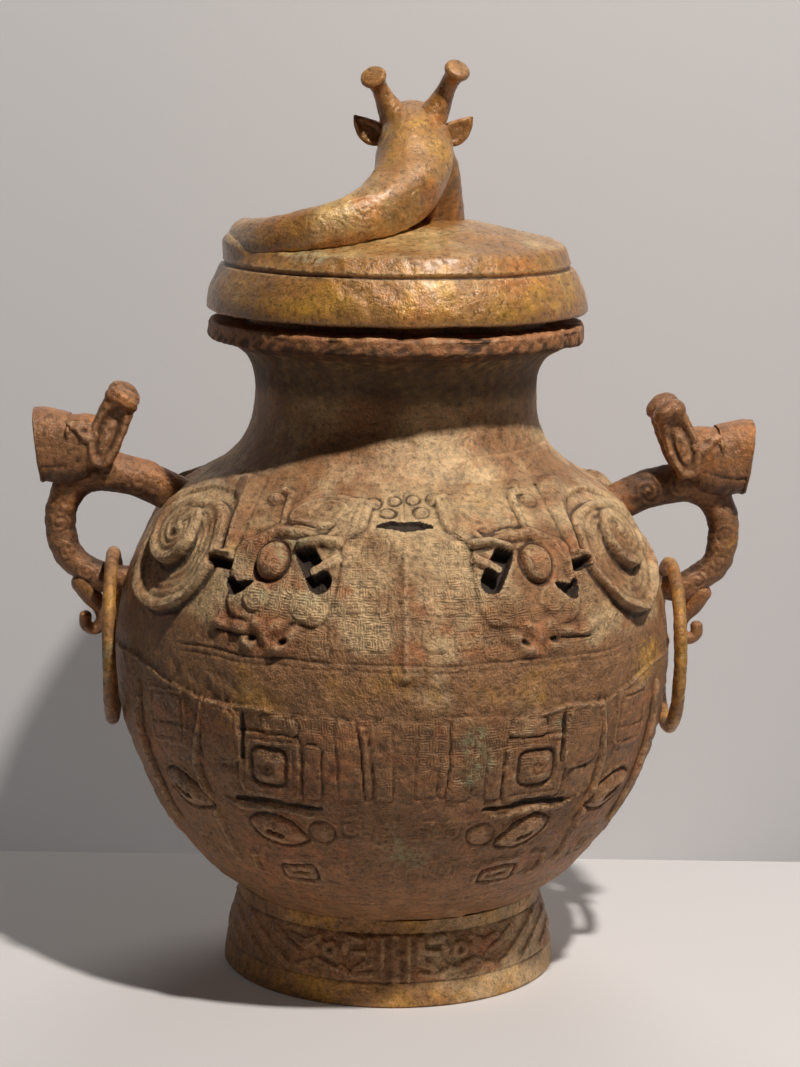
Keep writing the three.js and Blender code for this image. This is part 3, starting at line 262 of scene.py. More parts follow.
def jar_wall():
    """Length run, radius and level up the outer wall: the belly's ovals, then two curves round the neck."""
    level = np.linspace(FOOT_HEIGHT, SHOULDER_LEVEL, CURVE_STEPS[0])
    belly = np.column_stack([belly_radius(level), level])
    slope = np.array([belly_radius(SHOULDER_LEVEL) - belly_radius(SHOULDER_LEVEL - 1), 1])
    slope /= np.hypot(*slope)
    shoulder = belly[-1]
    towards_neck = shoulder + slope * NECK_TURN + (0.7 * NECK_TURN * slope[0], 0)
    neck = (NECK_RADIUS, NECK_LEVEL)
    below_neck = (NECK_RADIUS, NECK_LEVEL - 1.6 * NECK_TURN)
    above_neck = (NECK_RADIUS, NECK_LEVEL + LIP_TURN)
    lip = (RIM_RADIUS - RIM_THICKNESS / 2, RIM_LEVEL - RIM_THICKNESS)
    below_lip = (lip[0] - LIP_TURN, lip[1] - RIM_THICKNESS / 2)
    turn_in = bezier([shoulder, towards_neck, below_neck, neck], CURVE_STEPS[1])
    turn_out = bezier([neck, above_neck, below_lip, lip], CURVE_STEPS[2])
    profile = np.vstack([belly, turn_in[1:], turn_out[1:]])
    run = length_along(profile)
    even = np.arange(0, run[-1], WALL_STEP)
    profile = np.column_stack([np.interp(even, run, side) for side in profile.T])
    softer = np.column_stack([rounded(side, ROUNDED_STEPS) for side in profile.T])
    near = np.interp(np.abs(profile[:, 1:] - SHOULDER_LEVEL), ROUNDED_REACH, (1, 0))
    profile += (softer - profile) * near
    return length_along(profile), profile[:, 0], profile[:, 1]


WALL_RUN, WALL_RADIUS, WALL_LEVEL = jar_wall()


def run_at(level):
    """Length run up the wall at a level."""
    return np.interp(level, WALL_LEVEL, WALL_RUN)


def radius_at(level):
    """Outer radius of the wall at a level."""
    return np.interp(level, WALL_LEVEL, WALL_RADIUS)


def turned(azimuth, radius, level):
    """Points at an azimuth in degrees from the front towards +X, a radius and a level."""
    a = np.radians(azimuth)
    return np.stack([radius * np.sin(a), -radius * np.cos(a), level + 0 * a], axis=-1)


def outward(points):
    """Unit normals of a grid of points: the way across the columns crossed with the way up the rows."""
    across = np.gradient(points, axis=1)
    if np.allclose(points[:, 0], points[:, -1], atol=1e-6):
        across[:, 0] = across[:, -1] = points[:, 1] - points[:, -2]
    normal = np.cross(across, np.gradient(points, axis=0))
    return normal / np.maximum(np.linalg.norm(normal, axis=-1, keepdims=True), 1e-9)


def carved(points, height):
    """Points moved out along their normals by a height."""
    return points + outward(points) * height[..., None]


WAVES = 9  # in one unevenness


def unevenness(points, size, seed):
    """Smooth waviness of handwork, about -1 to 1: a sum of plane waves of one size in seeded directions."""
    rng = np.random.default_rng(seed)
    total = np.zeros(points.shape[:-1])
    for _ in range(WAVES):
        way = rng.normal(size=3)
        way *= 2 * np.pi / (size * rng.uniform(0.7, 1.5) * np.linalg.norm(way))
        total += np.sin(points @ way + rng.uniform(0, 2 * np.pi))
    return total / math.sqrt(WAVES)


def worn(points, seed, *waves):
    """Waviness of several sizes: each wave's amount times unevenness of its size, with seeds counted up."""
    return sum(amount * unevenness(points, size, seed + k) for k, (amount, size) in enumerate(waves))


def blurred(field, reach):
    """Mean of a field over a square window, taken by running sums along each side."""
    for axis in (0, 1):
        widths = [(0, 0), (0, 0)]
        widths[axis] = (reach + 1, reach)
        total = np.cumsum(np.pad(field, widths, mode="edge"), axis=axis)
        size = field.shape[axis]
        upper = np.take(total, np.arange(2 * reach + 1, 2 * reach + 1 + size), axis=axis)
        field = (upper - np.take(total, np.arange(size), axis=axis)) / (2 * reach + 1)
    return field


def hollows(height, reach=4, depth=1.2):
    """-1 in recesses and 1 on edges: the height less its own blur, over a depth."""
    return np.clip((height - blurred(height, reach)) / depth, -1, 1)


def surface(name, points, uv, marks, weld):
    """A smooth mesh from a grid of points, rows by columns, one quad to a cell. Marks are kept on its points
    and uv on its corners; weld closes seams and poles."""
    rows, columns = points.shape[:2]
    at = np.arange(rows * columns).reshape(rows, columns)
    quads = np.stack([at[:-1, :-1], at[:-1, 1:], at[1:, 1:], at[1:, :-1]], axis=-1).reshape(-1, 4)
    mesh = bpy.data.meshes.new(name)
    mesh.vertices.add(rows * columns)
    mesh.vertices.foreach_set("co", (points * METRES).astype(np.float32).ravel())
    mesh.loops.add(quads.size)
    mesh.loops.foreach_set("vertex_index", quads.astype(np.int32).ravel())
    mesh.polygons.add(len(quads))
    mesh.polygons.foreach_set("loop_start", np.arange(0, quads.size, 4, dtype=np.int32))
    mesh.polygons.foreach_set("use_smooth", np.ones(len(quads), dtype=bool))
    mesh.update(calc_edges=True)
    for mark, value in marks.items():
        held = mesh.attributes.new(mark, "FLOAT", "POINT")
        held.data.foreach_set("value", np.broadcast_to(value, (rows, columns)).astype(np.float32).ravel())
    corners = uv.reshape(-1, 2)[quads.ravel()]
    mesh.uv_layers.new(name="UVMap").data.foreach_set("uv", corners.astype(np.float32).ravel())
    if weld:
        work = bmesh.new()
        work.from_mesh(mesh)
        bmesh.ops.remove_doubles(work, verts=work.verts, dist=1e-6)
        work.to_mesh(mesh)
        work.free()
        mesh.update()
    made = bpy.data.objects.new(name, mesh)
    scene.collection.objects.link(made)
    return made


def set_piece(made, body, slot, finish, *nodes):
    """Gives a piece its finish, its body and the solids that it stands for. The slot is not used."""
    made.data.materials.clear()
    made.data.materials.append(finish)
    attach(made, body)
    if nodes:
        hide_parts(*nodes)


def between(value, low, high):
    """0 where a varying value is at the low mark, 1 at the high mark, smooth between."""
    settings, tree = {"interpolation_type": "SMOOTHSTEP"}, value.socket.id_data
    made = put(tree, "ShaderNodeMapRange", settings, Value=value, From_Min=low, From_Max=high)
    return Varying(made.outputs["Result"])


def cloudy(tree, where, scale, detail, roughness, offset):
    """Cloudy noise of a scale, from its own part of space."""
    shift = (offset, 1.7 * offset, 0.6 * offset)
    moved = put(tree, "ShaderNodeVectorMath", {"operation": "ADD"}, i0=where, i1=shift).outputs[0]
    noise = put(tree, "ShaderNodeTexNoise", Vector=moved, Scale=scale, Detail=detail, Roughness=roughness)
    return Varying(noise.outputs["Fac"])


PATINA_COLOURS = ("Brown", "Olive", "Ochre", "Rust", "Soot", "Worn", "Verdigris")
PATINA_MARKS = ("Relief", "Tone", "Gold", "Red", "Green")  # kept on the points of the pieces made here
PATINA_CLOUDS = (  # scale, detail, roughness and offset
    (16.0, 6.0, 0.62, 0.0),  # patch
    (38.0, 6.0, 0.66, 3.1),  # bloom
    (24.0, 6.0, 0.7, 7.7),  # stain
    (60.0, 6.0, 0.7, 11.3),  # crust
    (330.0, 5.0, 0.7, 2.3),  # speck
    (900.0, 3.0, 0.7, 5.9),  # grit
    (95.0, 5.0, 0.65, 9.2),  # mottle
)


def new_group(name, inputs, outputs):
    """An empty node group with sockets, each named with its kind, and its group input's outputs."""
    tree = bpy.data.node_groups.new(name, "ShaderNodeTree")
    for in_out, sockets in (("INPUT", inputs), ("OUTPUT", outputs)):
        for socket, kind in sockets.items():
            tree.interface.new_socket(socket, in_out=in_out, socket_type="NodeSocket" + kind)
    return tree, tree.nodes.new("NodeGroupInput").outputs


def patina_group():
    """The shared patina. Colours and marks go in; a mixed colour, a roughness and a height come out. Brown
    is covered by olive, rust and ochre in clouds, then by soot in recesses and painted shade where the relief
    mark is pushed low, wear on edges that is partly a painted highlight, and green crust."""
    inputs = {**dict.fromkeys(PATINA_COLOURS, "Color"), **dict.fromkeys((*PATINA_MARKS, "Gloss"), "Float")}
    tree, given = new_group("patina", inputs, {"Color": "Color", "Roughness": "Float", "Height": "Float"})
    relief, tone, gold, red, salts, gloss = (Varying(given[name]) for name in (*PATINA_MARKS, "Gloss"))
    where = put(tree, "ShaderNodeTexCoord").outputs["Object"]
    patch, bloom, stain, crust, speck, grit, mottle = (cloudy(tree, where, *c) for c in PATINA_CLOUDS)

    def covered(noise, share, breadth):
        """How far a cover lies: where its cloud tops a mark that falls as its share grows."""
        low = 0.74 - 0.5 * share
        return between(noise, low, low + breadth)

    # the relief mark is low in real recesses and also where painted shade is laid on a piece; both take the
    # soot colour
    hollow = between(relief, 0.0, -0.9)
    # rubbed wear on raised edges, made pale partly as a painted highlight of lit edges
    edge = between(relief, 0.08, 0.7) * between(speck, 0.36, 0.56)
    green = covered(crust, salts, 0.3) * between(speck, 0.4, 0.62) * (1.0 - hollow)
    colour = given["Brown"]
    for share, cover in (
        (covered(patch, tone, 0.2), "Olive"), (covered(stain, red, 0.18), "Rust"),
        (0.85 * covered(bloom, gold, 0.34), "Ochre"),
        (0.85 * hollow + 0.14 * between(relief, -1.0, -2.0), "Soot"),
        (0.38 * edge, "Worn"), (0.7 * green, "Verdigris"),
    ):
        colour = mixed(tree, share, colour, given[cover])
    pits = 0.5 + 0.62 * between(speck, 0.3, 0.56)
    shade = 0.32 + 1.4 * mottle
    light = pits * shade * (0.5 + grit)
    grey = put(tree, "ShaderNodeCombineColor", i0=light, i1=light, i2=light).outputs[0]
    colour = mixed(tree, 1.0, colour, grey, "MULTIPLY")
    colour = put(tree, "ShaderNodeHueSaturation", Saturation=1.06, Color=colour).outputs["Color"]
    rough = 0.66 - 0.3 * gloss + 0.5 * (speck - 0.5) + 0.15 * (green + hollow)
    height = speck + 0.35 * grit + 1.6 * shade
    put(tree, "NodeGroupOutput", Color=colour, Roughness=rough, Height=height)
    return tree


def thunder_group():
    """Fine square spirals in rows, the thunder pattern, drawn by a free hand. In each cell a square radius
    less the angle makes lines, and every second cell is mirrored. The height is worn away in clouds."""
    tree, given = new_group("thunder_lines", {"Cell": "Float"}, {"Height": "Float"})
    where = put(tree, "ShaderNodeTexCoord").outputs
    bend = put(tree, "ShaderNodeTexNoise", Vector=where["Object"], Scale=26.0, Detail=3.0).outputs["Color"]
    bend = put(tree, "ShaderNodeVectorMath", {"operation": "SCALE"}, i0=bend, Scale=0.09).outputs[0]
    bent = put(tree, "ShaderNodeVectorMath", {"operation": "ADD"}, i0=where["UV"], i1=bend).outputs[0]
    place = put(tree, "ShaderNodeSeparateXYZ", Vector=bent).outputs
    across, up = (Varying(place[k]) / given["Cell"] for k in (0, 1))
    odd = (across.then("FLOOR") + up.then("FLOOR")).then("MODULO", 2.0).then("ABSOLUTE")
    x = (across.then("FRACT") - 0.5) * (1.0 - 2.0 * odd)
    y = up.then("FRACT") - 0.5
    square = x.then("ABSOLUTE").then("MAXIMUM", y.then("ABSOLUTE"))
    angle = y.then("ARCTAN2", x) / (2 * math.pi)
    turn = (6.0 * square - angle + 1.0).then("FRACT")
    line = between((turn - 0.5).then("ABSOLUTE"), 0.12, 0.36)
    kept = between(cloudy(tree, where["Object"], 40.0, 4.0, 0.6, 4.4), 0.4, 0.62)
    put(tree, "NodeGroupOutput", Height=line * kept)
    return tree


PATINA = patina_group()
THUNDER = thunder_group()
THUNDER_DEPTH = 0.2  # of the lines, against the patina's own height


def bronze(name, colours, metallic, gloss, thunder=None, depth=0.0008):
    """A bronze finish: the shared patina in its own colours, placed by the marks on a piece's points. Thunder
    is the cell of fine lines, cut where the mark lines is 1, and depth is the bump's, in metres."""
    made = bpy.data.materials.new(name)
    made.use_nodes = True
    tree = made.node_tree
    shader = tree.nodes["Principled BSDF"]
    shader.inputs["Metallic"].default_value = metallic

    def held(mark):
        """A mark that the piece keeps on its points."""
        return put(tree, "ShaderNodeAttribute", {"attribute_name": mark.lower()}).outputs["Fac"]

    feeds = {mark: held(mark) for mark in PATINA_MARKS} | {key: (*value, 1) for key, value in colours.items()}
    patina = put(tree, "ShaderNodeGroup", {"node_tree": PATINA}, Gloss=gloss, **feeds).outputs
    height = Varying(patina["Height"])
    if thunder:
        lines = put(tree, "ShaderNodeGroup", {"node_tree": THUNDER}, Cell=thunder).outputs["Height"]
        height = height - THUNDER_DEPTH * Varying(lines) * held("lines")
    bumped = put(tree, "ShaderNodeBump", Height=height, Strength=1.0, Distance=depth)
    tree.links.new(patina["Color"], shader.inputs["Base Color"])
    tree.links.new(patina["Roughness"], shader.inputs["Roughness"])
    tree.links.new(bumped.outputs["Normal"], shader.inputs["Normal"])
    return made


JAR_COLOURS = {
    "Brown": (0.35, 0.18, 0.085), "Olive": (0.66, 0.45, 0.25), "Ochre": (0.68, 0.36, 0.085),
    "Rust": (0.44, 0.195, 0.09), "Soot": (0.035, 0.019, 0.01), "Worn": (0.74, 0.54, 0.33),
    "Verdigris": (0.36, 0.38, 0.22),
}
jar_finish = bronze("jar_patina", JAR_COLOURS, metallic=0.12, gloss=0.6, thunder=0.085, depth=0.0014)
neck_finish = bronze("neck_patina", JAR_COLOURS, metallic=0.12, gloss=0.5)


# The shoulder's carving: on each side of a front and a back ridge lies a dragon with a coiled body in high
# relief, a staring eye, an upturned nose and an open jaw. It was cast with the wall in one pour.
HALF_COLUMNS = 585  # round the half of the wall on one facing
SHOULDER_ROWS = 150
SHOULDER_WEAR = 1
COIL_PLACE = (59, 243)  # azimuth from the ridge and level
COIL_TIP = (0, 13)  # place of the coil's tip from its middle
# The coil's edge winds out from its tip in quarter turns: how far out it is, how high it stands, and how
# high the ground lies outside it.
COIL_OUT = (0, 3, 6.5, 10, 13.5, 21.5, 27, 17.5, 33, 46, 37.5, 26, 33)
COIL_HIGH = (6.6, 6.6, 6.4, 6.4, 7, 8, 6.8, 4, 4.4, 8.5, 4.5, -2.5, -0.5)
COIL_GROUND = (5.4, 5.2, 5, 4.4, 3.6, 0, -1, -4, 0, 0, 0, 0, 0)
COIL_WINDING = np.linspace(-540, 540, 721)  # degrees
COIL_EDGE = 2.2
COIL_RIM = 5.5  # breadth of the raised rim along each turn
COIL_RIM_RISE = 1.5
COIL_RIDGE_RISE = 0.35  # of fine ridges in step with the edge
COIL_RIDGE_PITCH = 4.6


def soft(distance, edge=1.4):
    """1 inside a shape and 0 outside, smooth over an edge; distance is below 0 inside."""
    t = np.clip(0.5 - distance / edge, 0, 1)
    return t * t * (3 - 2 * t)


def bell(distance, breadth):
    """1 at a place, falling away on both sides: e to the power of less the square of distance by breadth."""
    return np.exp(-((distance / breadth) ** 2))


def smooth_through(points, steps):
    """Points on a smooth curve through given ones, each stretch a cubic that takes its slopes from the
    neighbours on both sides."""
    p = np.asarray(points, float)
    ends = np.concatenate([2 * p[:1] - p[1:2], p, 2 * p[-1:] - p[-2:-1]])
    t = np.linspace(0, len(p) - 1, steps)
    i = np.minimum(t.astype(int), len(p) - 2)
    f = (t - i).reshape(-1, *[1] * (p.ndim - 1))
    a, b, c, d = ends[i], ends[i + 1], ends[i + 2], ends[i + 3]
    return 0.5 * (2 * b + (c - a) * f + (2 * a - 5 * b + 4 * c - d) * f**2 + (3 * b - a - 3 * c + d) * f**3)


def coil(x, y):
    """The coiled body: bands that slope up to a winding edge and drop behind it, laid from the outside in.
    Each is hollowed between its foot and its rim. The distance beyond the outermost edge comes with it."""
    curves = [smooth_through(values, len(COIL_WINDING)) for values in (COIL_OUT, COIL_HIGH, COIL_GROUND)]
    out, high, ground = curves
    x, y = x - COIL_TIP[0], y - COIL_TIP[1]
    radius, angle = np.hypot(x, y), np.degrees(np.arctan2(y, x))
    height = np.zeros_like(x)
    for turn in (360, 0, -360):
        outer, top = (np.interp(angle + turn, COIL_WINDING, curve) for curve in (out, high))
        inner = np.interp(angle + turn - 360, COIL_WINDING, out, left=0)
        foot = np.interp(angle + turn - 360, COIL_WINDING, ground)
        share = np.clip((radius - inner) / np.maximum(outer - inner, 1), 0, 1)
        slope = foot + (top - foot) * share**1.3
        hollow = 0.22 * np.maximum(top - foot, 2) * soft(0.5 - share, 0.9)
        rim = COIL_RIM_RISE * bell(outer - radius - 0.45 * COIL_RIM, 0.55 * COIL_RIM)
        ridges = COIL_RIDGE_RISE * np.cos((outer - radius) * 2 * np.pi / COIL_RIDGE_PITCH)
        height += (slope - hollow + rim + ridges - height) * soft(radius - outer, COIL_EDGE)
    return height, radius - np.interp(angle + 360, COIL_WINDING, out)


def oval(x, y, half_x, half_y):
    """Distance to an oval, about right near its edge."""
    return (np.hypot(x / half_x, y / half_y) - 1) * min(half_x, half_y)


def block(x, y, half_x, half_y, corner):
    """Distance to a box with round corners."""
    over_x = np.abs(x) - half_x + corner
    over_y = np.abs(y) - half_y + corner
    outside = np.hypot(np.maximum(over_x, 0), np.maximum(over_y, 0))
    return outside + np.minimum(np.maximum(over_x, over_y), 0) - corner


def tilted(x, y, degrees):
    """Coordinates turned by an angle."""
    c, s = math.cos(math.radians(degrees)), math.sin(math.radians(degrees))
    return c * x + s * y, c * y - s * x


def stroke(x, y, way):
    """Distance to a line through places (x, y, half-breadth) that widens and narrows along it."""
    nearest = np.full(np.shape(x), np.inf)
    for (x0, y0, half0), (x1, y1, half1) in zip(way[:-1], way[1:]):
        way_x, way_y = x1 - x0, y1 - y0
        t = np.clip(((x - x0) * way_x + (y - y0) * way_y) / (way_x**2 + way_y**2), 0, 1)
        apart = np.hypot(x - x0 - t * way_x, y - y0 - t * way_y)
        nearest = np.minimum(nearest, apart - half0 - t * (half1 - half0))
    return nearest


def spiral_lines(x, y, pitch, reach, square=False, hand=1):
    """1 in the groove of a spiral and 0 between: a round or square radius over the pitch, less the angle."""
    radius = (x**4 + y**4) ** 0.25 if square else np.hypot(x, y)
    turn = np.mod(radius / pitch - hand * np.arctan2(y, x) / (2 * np.pi), 1)
    return soft((np.abs(turn - 0.5) - 0.22) * pitch, 0.5 * pitch) * soft(radius - reach, pitch)


def raised(height, shape, by, edge=1.2):
    """The height lifted to a level inside a shape."""
    return height + np.maximum(by - height, 0) * soft(shape, edge)


def domed(height, shape, by, half):
    """The height lifted inside a shape to a round swell, as high as by at a depth of half from its edge."""
    return np.maximum(height, np.where(shape < 0, by * np.sqrt(np.clip(-shape / half, 0, 1)), height))


def cut(height, shape, deep, edge=1.0):
    """The height lowered inside a shape."""
    return height - deep * soft(shape, edge)


def lined(height, shape, out, half, deep, edge):
    """The height lowered in a groove along a shape's edge, so far out from it and so broad on each side."""
    return cut(height, np.abs(shape - out) - half, deep, edge)


def places(a, level):
    """For a map of azimuths and levels, two functions: spot gives distances in mm from a place, and line the
    distance to a line through places (azimuth, level, half-breadth)."""
    def spot(a0, level0):
        return np.radians(a - a0) * radius_at(level), run_at(level) - run_at(level0)

    def line(way):
        middle_a, middle_level, _ = np.mean(way, axis=0)
        x, y = spot(middle_a, middle_level)
        return stroke(x, y, [
            (math.radians(pa - middle_a) * radius_at(pl), run_at(pl) - run_at(middle_level), half)
            for pa, pl, half in way
        ])

    return spot, line


# Strokes of the shoulder's carving, by azimuth from the ridge, level and half-breadth.
NOSE_STEM = ((11.5, 274, 5.5), (12.6, 266, 6.5), (17, 258.6, 4))
NOSE_GROOVE = ((20, 262, 0.8), (25, 262.8, 1.0), (30, 263.4, 0.6))
COMMA_HOOK = ((30.5, 263.5, 1.2), (33.4, 277, 2.0), (36, 278, 2.2))
COILED_NECK = ((54, 283, 9.5), (47, 271, 8.5), (42.6, 259, 6.5), (41.4, 246, 4))
EYE_BROW = ((17, 257.6, 1.4), (24, 259.6, 2.6), (31, 260.6, 3.4), (36.4, 254, 3.4), (38, 243, 1.6))
LIP_GROOVE = ((40, 209.4, 0.4), (35, 210.6, 0.9), (31, 210.8, 0.5))
FLOWER_STEM = ((0, 279, 0.5), (0, 262, 0.5))
NOSTRIL_HOLE = ((22.6, 252.4, 4.2), (18.2, 239, 5.4))
NOSTRIL_TONGUE = ((15.4, 249.6, 2.4), (19.6, 243.6, 2.8))
NOSTRIL_STUB = ((15.8, 257.2, 3.4), (19.6, 257.4, 3.2), (23.8, 254.6, 3.4))
FLOWER_SLIT = ((0, 266, 3.0), (3.2, 266.2, 2.5), (6.4, 265.6, 0.4))
HEAD_NOTCHES = (
    ((40.6, 242.6, 2.6), (45, 243.4, 2.2)), ((33.6, 235, 0.8), (37.4, 231, 3.0), (38.6, 234, 2.2)),
)
NOTCH_STUB = ((40.6, 248, 2.6), (45.4, 247.2, 2.4))
CHEEK_DISCS = ((20.6, 227, 8, 2.7), (31.6, 229.6, 7, 3.4))  # azimuth, level, radius, rise
JAW_LUMPS = (  # azimuth, level, tilt, length over breadth, half-breadth, rise
    (39.4, 212.6, 8, 1.9, 2.6, 3.4), (34, 213.6, -6, 1.8, 3.0, 4.2), (30, 217.4, 30, 1.3, 3.6, 4.6),
    (26, 216.4, -30, 1.4, 3.6, 4.8), (22.6, 211.4, -55, 1.7, 3.2, 4.4), (31.4, 206.6, 20, 1.4, 3.2, 3.6),
    (25.4, 205, -10, 1.6, 3.4, 3.8), (28, 211, 60, 1.5, 2.8, 3.4),
)
SNOUT_HOLES = ((24.4, 208.6), (31, 209.4))
FLOWER_PETALS = ((4.3, 271.6, 3.2), (8.4, 275.8, 3.6), (2.6, 277, 2.6))  # azimuth, level, radius
RIDGE_TABLETS = (  # azimuth, level, half-width, half-height, hand of the spiral
    (6.0, 254, 5.2, 7, 1), (12.2, 253.5, 5.2, 7, -1), (9, 232.5, 12.5, 8.6, 1), (5.6, 213.5, 6, 6.5, 1),
    (12.6, 214, 7, 6.5, -1), (17.2, 207, 5, 5, 1),
)
BORDER_LINES = ((279.8, 0.6), (200.5, 0.8), (197, 0.5), (PANEL_TOP, 0.4))  # level, depth
DEEPEST_HOLE = -4.4


def shoulder_relief(a, level):
    """Height of the shoulder's carving at an azimuth from the nearest ridge and a level. Raised shapes are
    laid over each other by the greater height, then grooves and holes are taken out."""
    spot, line = places(a, level)
    # cheek plate
    height = raised(np.zeros_like(a), block(*spot(27, 238), 29, 21.5, 9), by=1.7, edge=1.4)
    # nose curl: a leaf with lines in step with its edge, and its stem down to the nostril
    leaf = np.minimum(oval(*tilted(*spot(20.5, 269.5), -26), 20, 11.5), line(NOSE_STEM))
    height = raised(height, leaf, by=2.4)
    height = height + 0.4 * np.sin(leaf * 2 * np.pi / 3.3) * soft(leaf + 1.6, 1.2)
    height = cut(height, line(NOSE_GROOVE), deep=2.2, edge=0.9)
    # small comma hook behind it, with a ball at its end
    height = raised(height, line(COMMA_HOOK), by=2.0, edge=1.4)
    height = domed(height, np.hypot(*spot(37.4, 273.4)) - 4.6, by=4.4, half=4.6)
    # neck of the dragon along the coil's front, and the brow over the eye
    height = domed(height, line(COILED_NECK), by=4.6, half=9)
    height = domed(height, line(EYE_BROW), by=3.4, half=4.5)
    # coil in its sunk bed
    x, y = spot(*COIL_PLACE)
    wound, beyond = coil(x, y)
    bed = soft(beyond - 9, 2.2) * soft(-y - 6, 30)
    height = height + 1.4 * soft(beyond - 16, 9) * soft(-y - 10, 20) - 2.6 * bed * soft(beyond - 2.5, 3)
    inside = soft(beyond, COIL_EDGE)
    height = height * (1 - inside) + wound * inside
    # cheek discs with spirals
    for a0, level0, size, by in CHEEK_DISCS:
        x, y = spot(a0, level0)
        height = raised(height, np.hypot(x, y) - size, by, edge=1.6)
        height = height - 0.55 * spiral_lines(x, y, 2.5, size - 1)
    # jaw: a thick lumpy lip over a snout with two nostrils
    lumps = np.zeros_like(a)
    for a0, level0, turn, long, size, by in JAW_LUMPS:
        x, y = tilted(*spot(a0, level0), turn)
        lumps = lumps + by * bell(np.hypot(x / long, y), size)
    height = np.maximum(height, 5 * np.tanh(lumps / 4.4))
    height = cut(height, line(LIP_GROOVE), deep=1.6, edge=1.4)
    for place in SNOUT_HOLES:
        x, y = tilted(*spot(*place), -25)
        height = cut(height, np.hypot(x / 1.9, y) - 1.3, deep=3.6, edge=1.8)
    # flower over the ridge: round petals over a slit
    for a0, level0, size in FLOWER_PETALS:
        petal = np.hypot(*spot(a0, level0)) - size
        height = domed(height, petal, by=1.7, half=size)
        height = lined(height, petal, out=0.8, half=0.5, deep=0.9, edge=0.8)
    height = cut(height, line(FLOWER_STEM), deep=0.8, edge=0.8)
    # ridge: low and soft
    x, y = spot(0, 226)
    height = height + (1.6 * bell(x, 5) + 1.2 * bell(x, 1.7)) * soft(np.abs(y) - 35, 6)
    # squares and long tablets of thunder spirals beside the ridge
    for a0, level0, half_x, half_y, hand in RIDGE_TABLETS:
        x, y = spot(a0, level0)
        tablet = block(x, y, half_x, half_y, 2.8)
        height = raised(height, tablet, by=0.5, edge=0.9)
        height = lined(height, tablet, out=0.6, half=0.3, deep=0.45, edge=0.7)
        height = height - 0.55 * spiral_lines(x * half_y / half_x, y, 2.6, half_y - 1.2, True, hand)
    # eye: a ball in a sunk ring
    x, y = spot(30, 247)
    ball = np.hypot(x / 8.8, (y + 0.5) / 10.4)
    height = cut(height, (ball - 1.14) * 9, deep=2.0, edge=2.5)
    height = np.maximum(height, np.where(ball < 1, -0.8 + 9 * np.sqrt(np.clip(1 - ball**2, 0, 1)), height))
    # holes: the nostril with its tongue and a stub over it, the slit, two notches behind the head
    height = cut(height, line(NOSTRIL_HOLE), deep=9, edge=1.2)
    height = raised(height, line(NOSTRIL_TONGUE), by=4.4)
    height = domed(height, line(NOSTRIL_STUB), by=7.2, half=3.4)
    height = cut(height, line(FLOWER_SLIT), deep=6.5, edge=0.8)
    height = cut(height, np.minimum(*map(line, HEAD_NOTCHES)), deep=7, edge=1.4)
    height = domed(height, line(NOTCH_STUB), by=6.4, half=2.6)
    for level0, deep in BORDER_LINES:
        height = lined(height, run_at(level) - run_at(level0), 0, 0.5, deep * soft(a - 50, 8), 1.0)
    whole = soft(level - ORNAMENT_TOP + 2.5, 4) * soft(PANEL_TOP + 1.5 - level, 3)
    return np.maximum(height, DEEPEST_HOLE) * whole


GREEN_SPOTS = (  # azimuth, level, radius, amount
    (-26, 253, 13, 1.0), (-19, 229, 10, 0.6), (-31, 231, 8, 0.5), (28, 254, 9, 0.6), (37, 227, 8, 0.6),
    (6, 262, 10, 0.35), (14, 163, 8, 0.9), (15, 148, 8, 0.9), (13, 137, 7, 0.6), (32, 167, 6, 0.6),
    (-2, 100, 13, 0.7), (4, 90, 10, 0.6), (3, 198, 16, 0.4), (-30, 168, 10, 0.4), (8, 150, 22, 0.25),
    (150, 250, 14, 0.8), (-165, 150, 16, 0.7), (-120, 120, 16, 0.6), (120, 235, 12, 0.5),
)
RUSTY_SPOTS = ((30, 247, 10), (27, 210, 12), (37, 214, 8), (0, 205, 9))  # eyes, jaws and the ridge's foot
GREEN_GROUND = 0.16
WALL_BANDS = {  # for each mark its ground, then bands: amount, lowest level, highest level, blend
    "tone": (0.36, (0.34, 272, 400, 24), (0.34, 204, 275, 14), (-0.14, 50, 170, 20)),
    "gold": (0.2, (0.32, 176, 198, 12), (0.12, 275, 400, 10)),
    "red": (0.34, (0.1, 200, 275, 12), (0.2, 60, 172, 12)),
}
# the first darkens the plain band at the left as painted shade; the second makes the wall paler right of the
# ridge
WALL_SHADE_AND_STAINS = ((-0.8, -56, 15, 184, 212, 12), (0.25, 11, 7, 206, 262, 10))  # amount, azimuth, breadth, band
WALL_WAVES = ((0.25, 45), (0.12, 8), (0.07, 3.2))  # amount and size of the wall's unevenness
WALL_SEED = 1
FREE_AZIMUTH_WAVES = ((0.3, 40), (0.07, 12))  # how far a free hand strays, in degrees
FREE_LEVEL_WAVES = ((0.7, 40), (0.15, 12))
PATCHY_MARKS = (("tone", 0.08, 20, 16), ("gold", 0.15, 26, 17), ("red", 0.1, 15, 18))  # amount, size, seed
PLAIN_BAND = (172, 205)  # levels of the band without fine lines
LINES_TOP = 262
LINES_REACH = 42  # degrees from the facing
UV_ROUND = 1.4  # uv to a radian round the wall
UV_LENGTH = 0.01  # uv to a millimetre


def wrapped(degrees):
    """An angle brought to between -180 and 180 degrees."""
    return (degrees + 180) % 360 - 180


def from_facing(azimuth):
    """Degrees to the front or the back, whichever is nearer."""
    return np.abs((azimuth + 90) % 180 - 90)


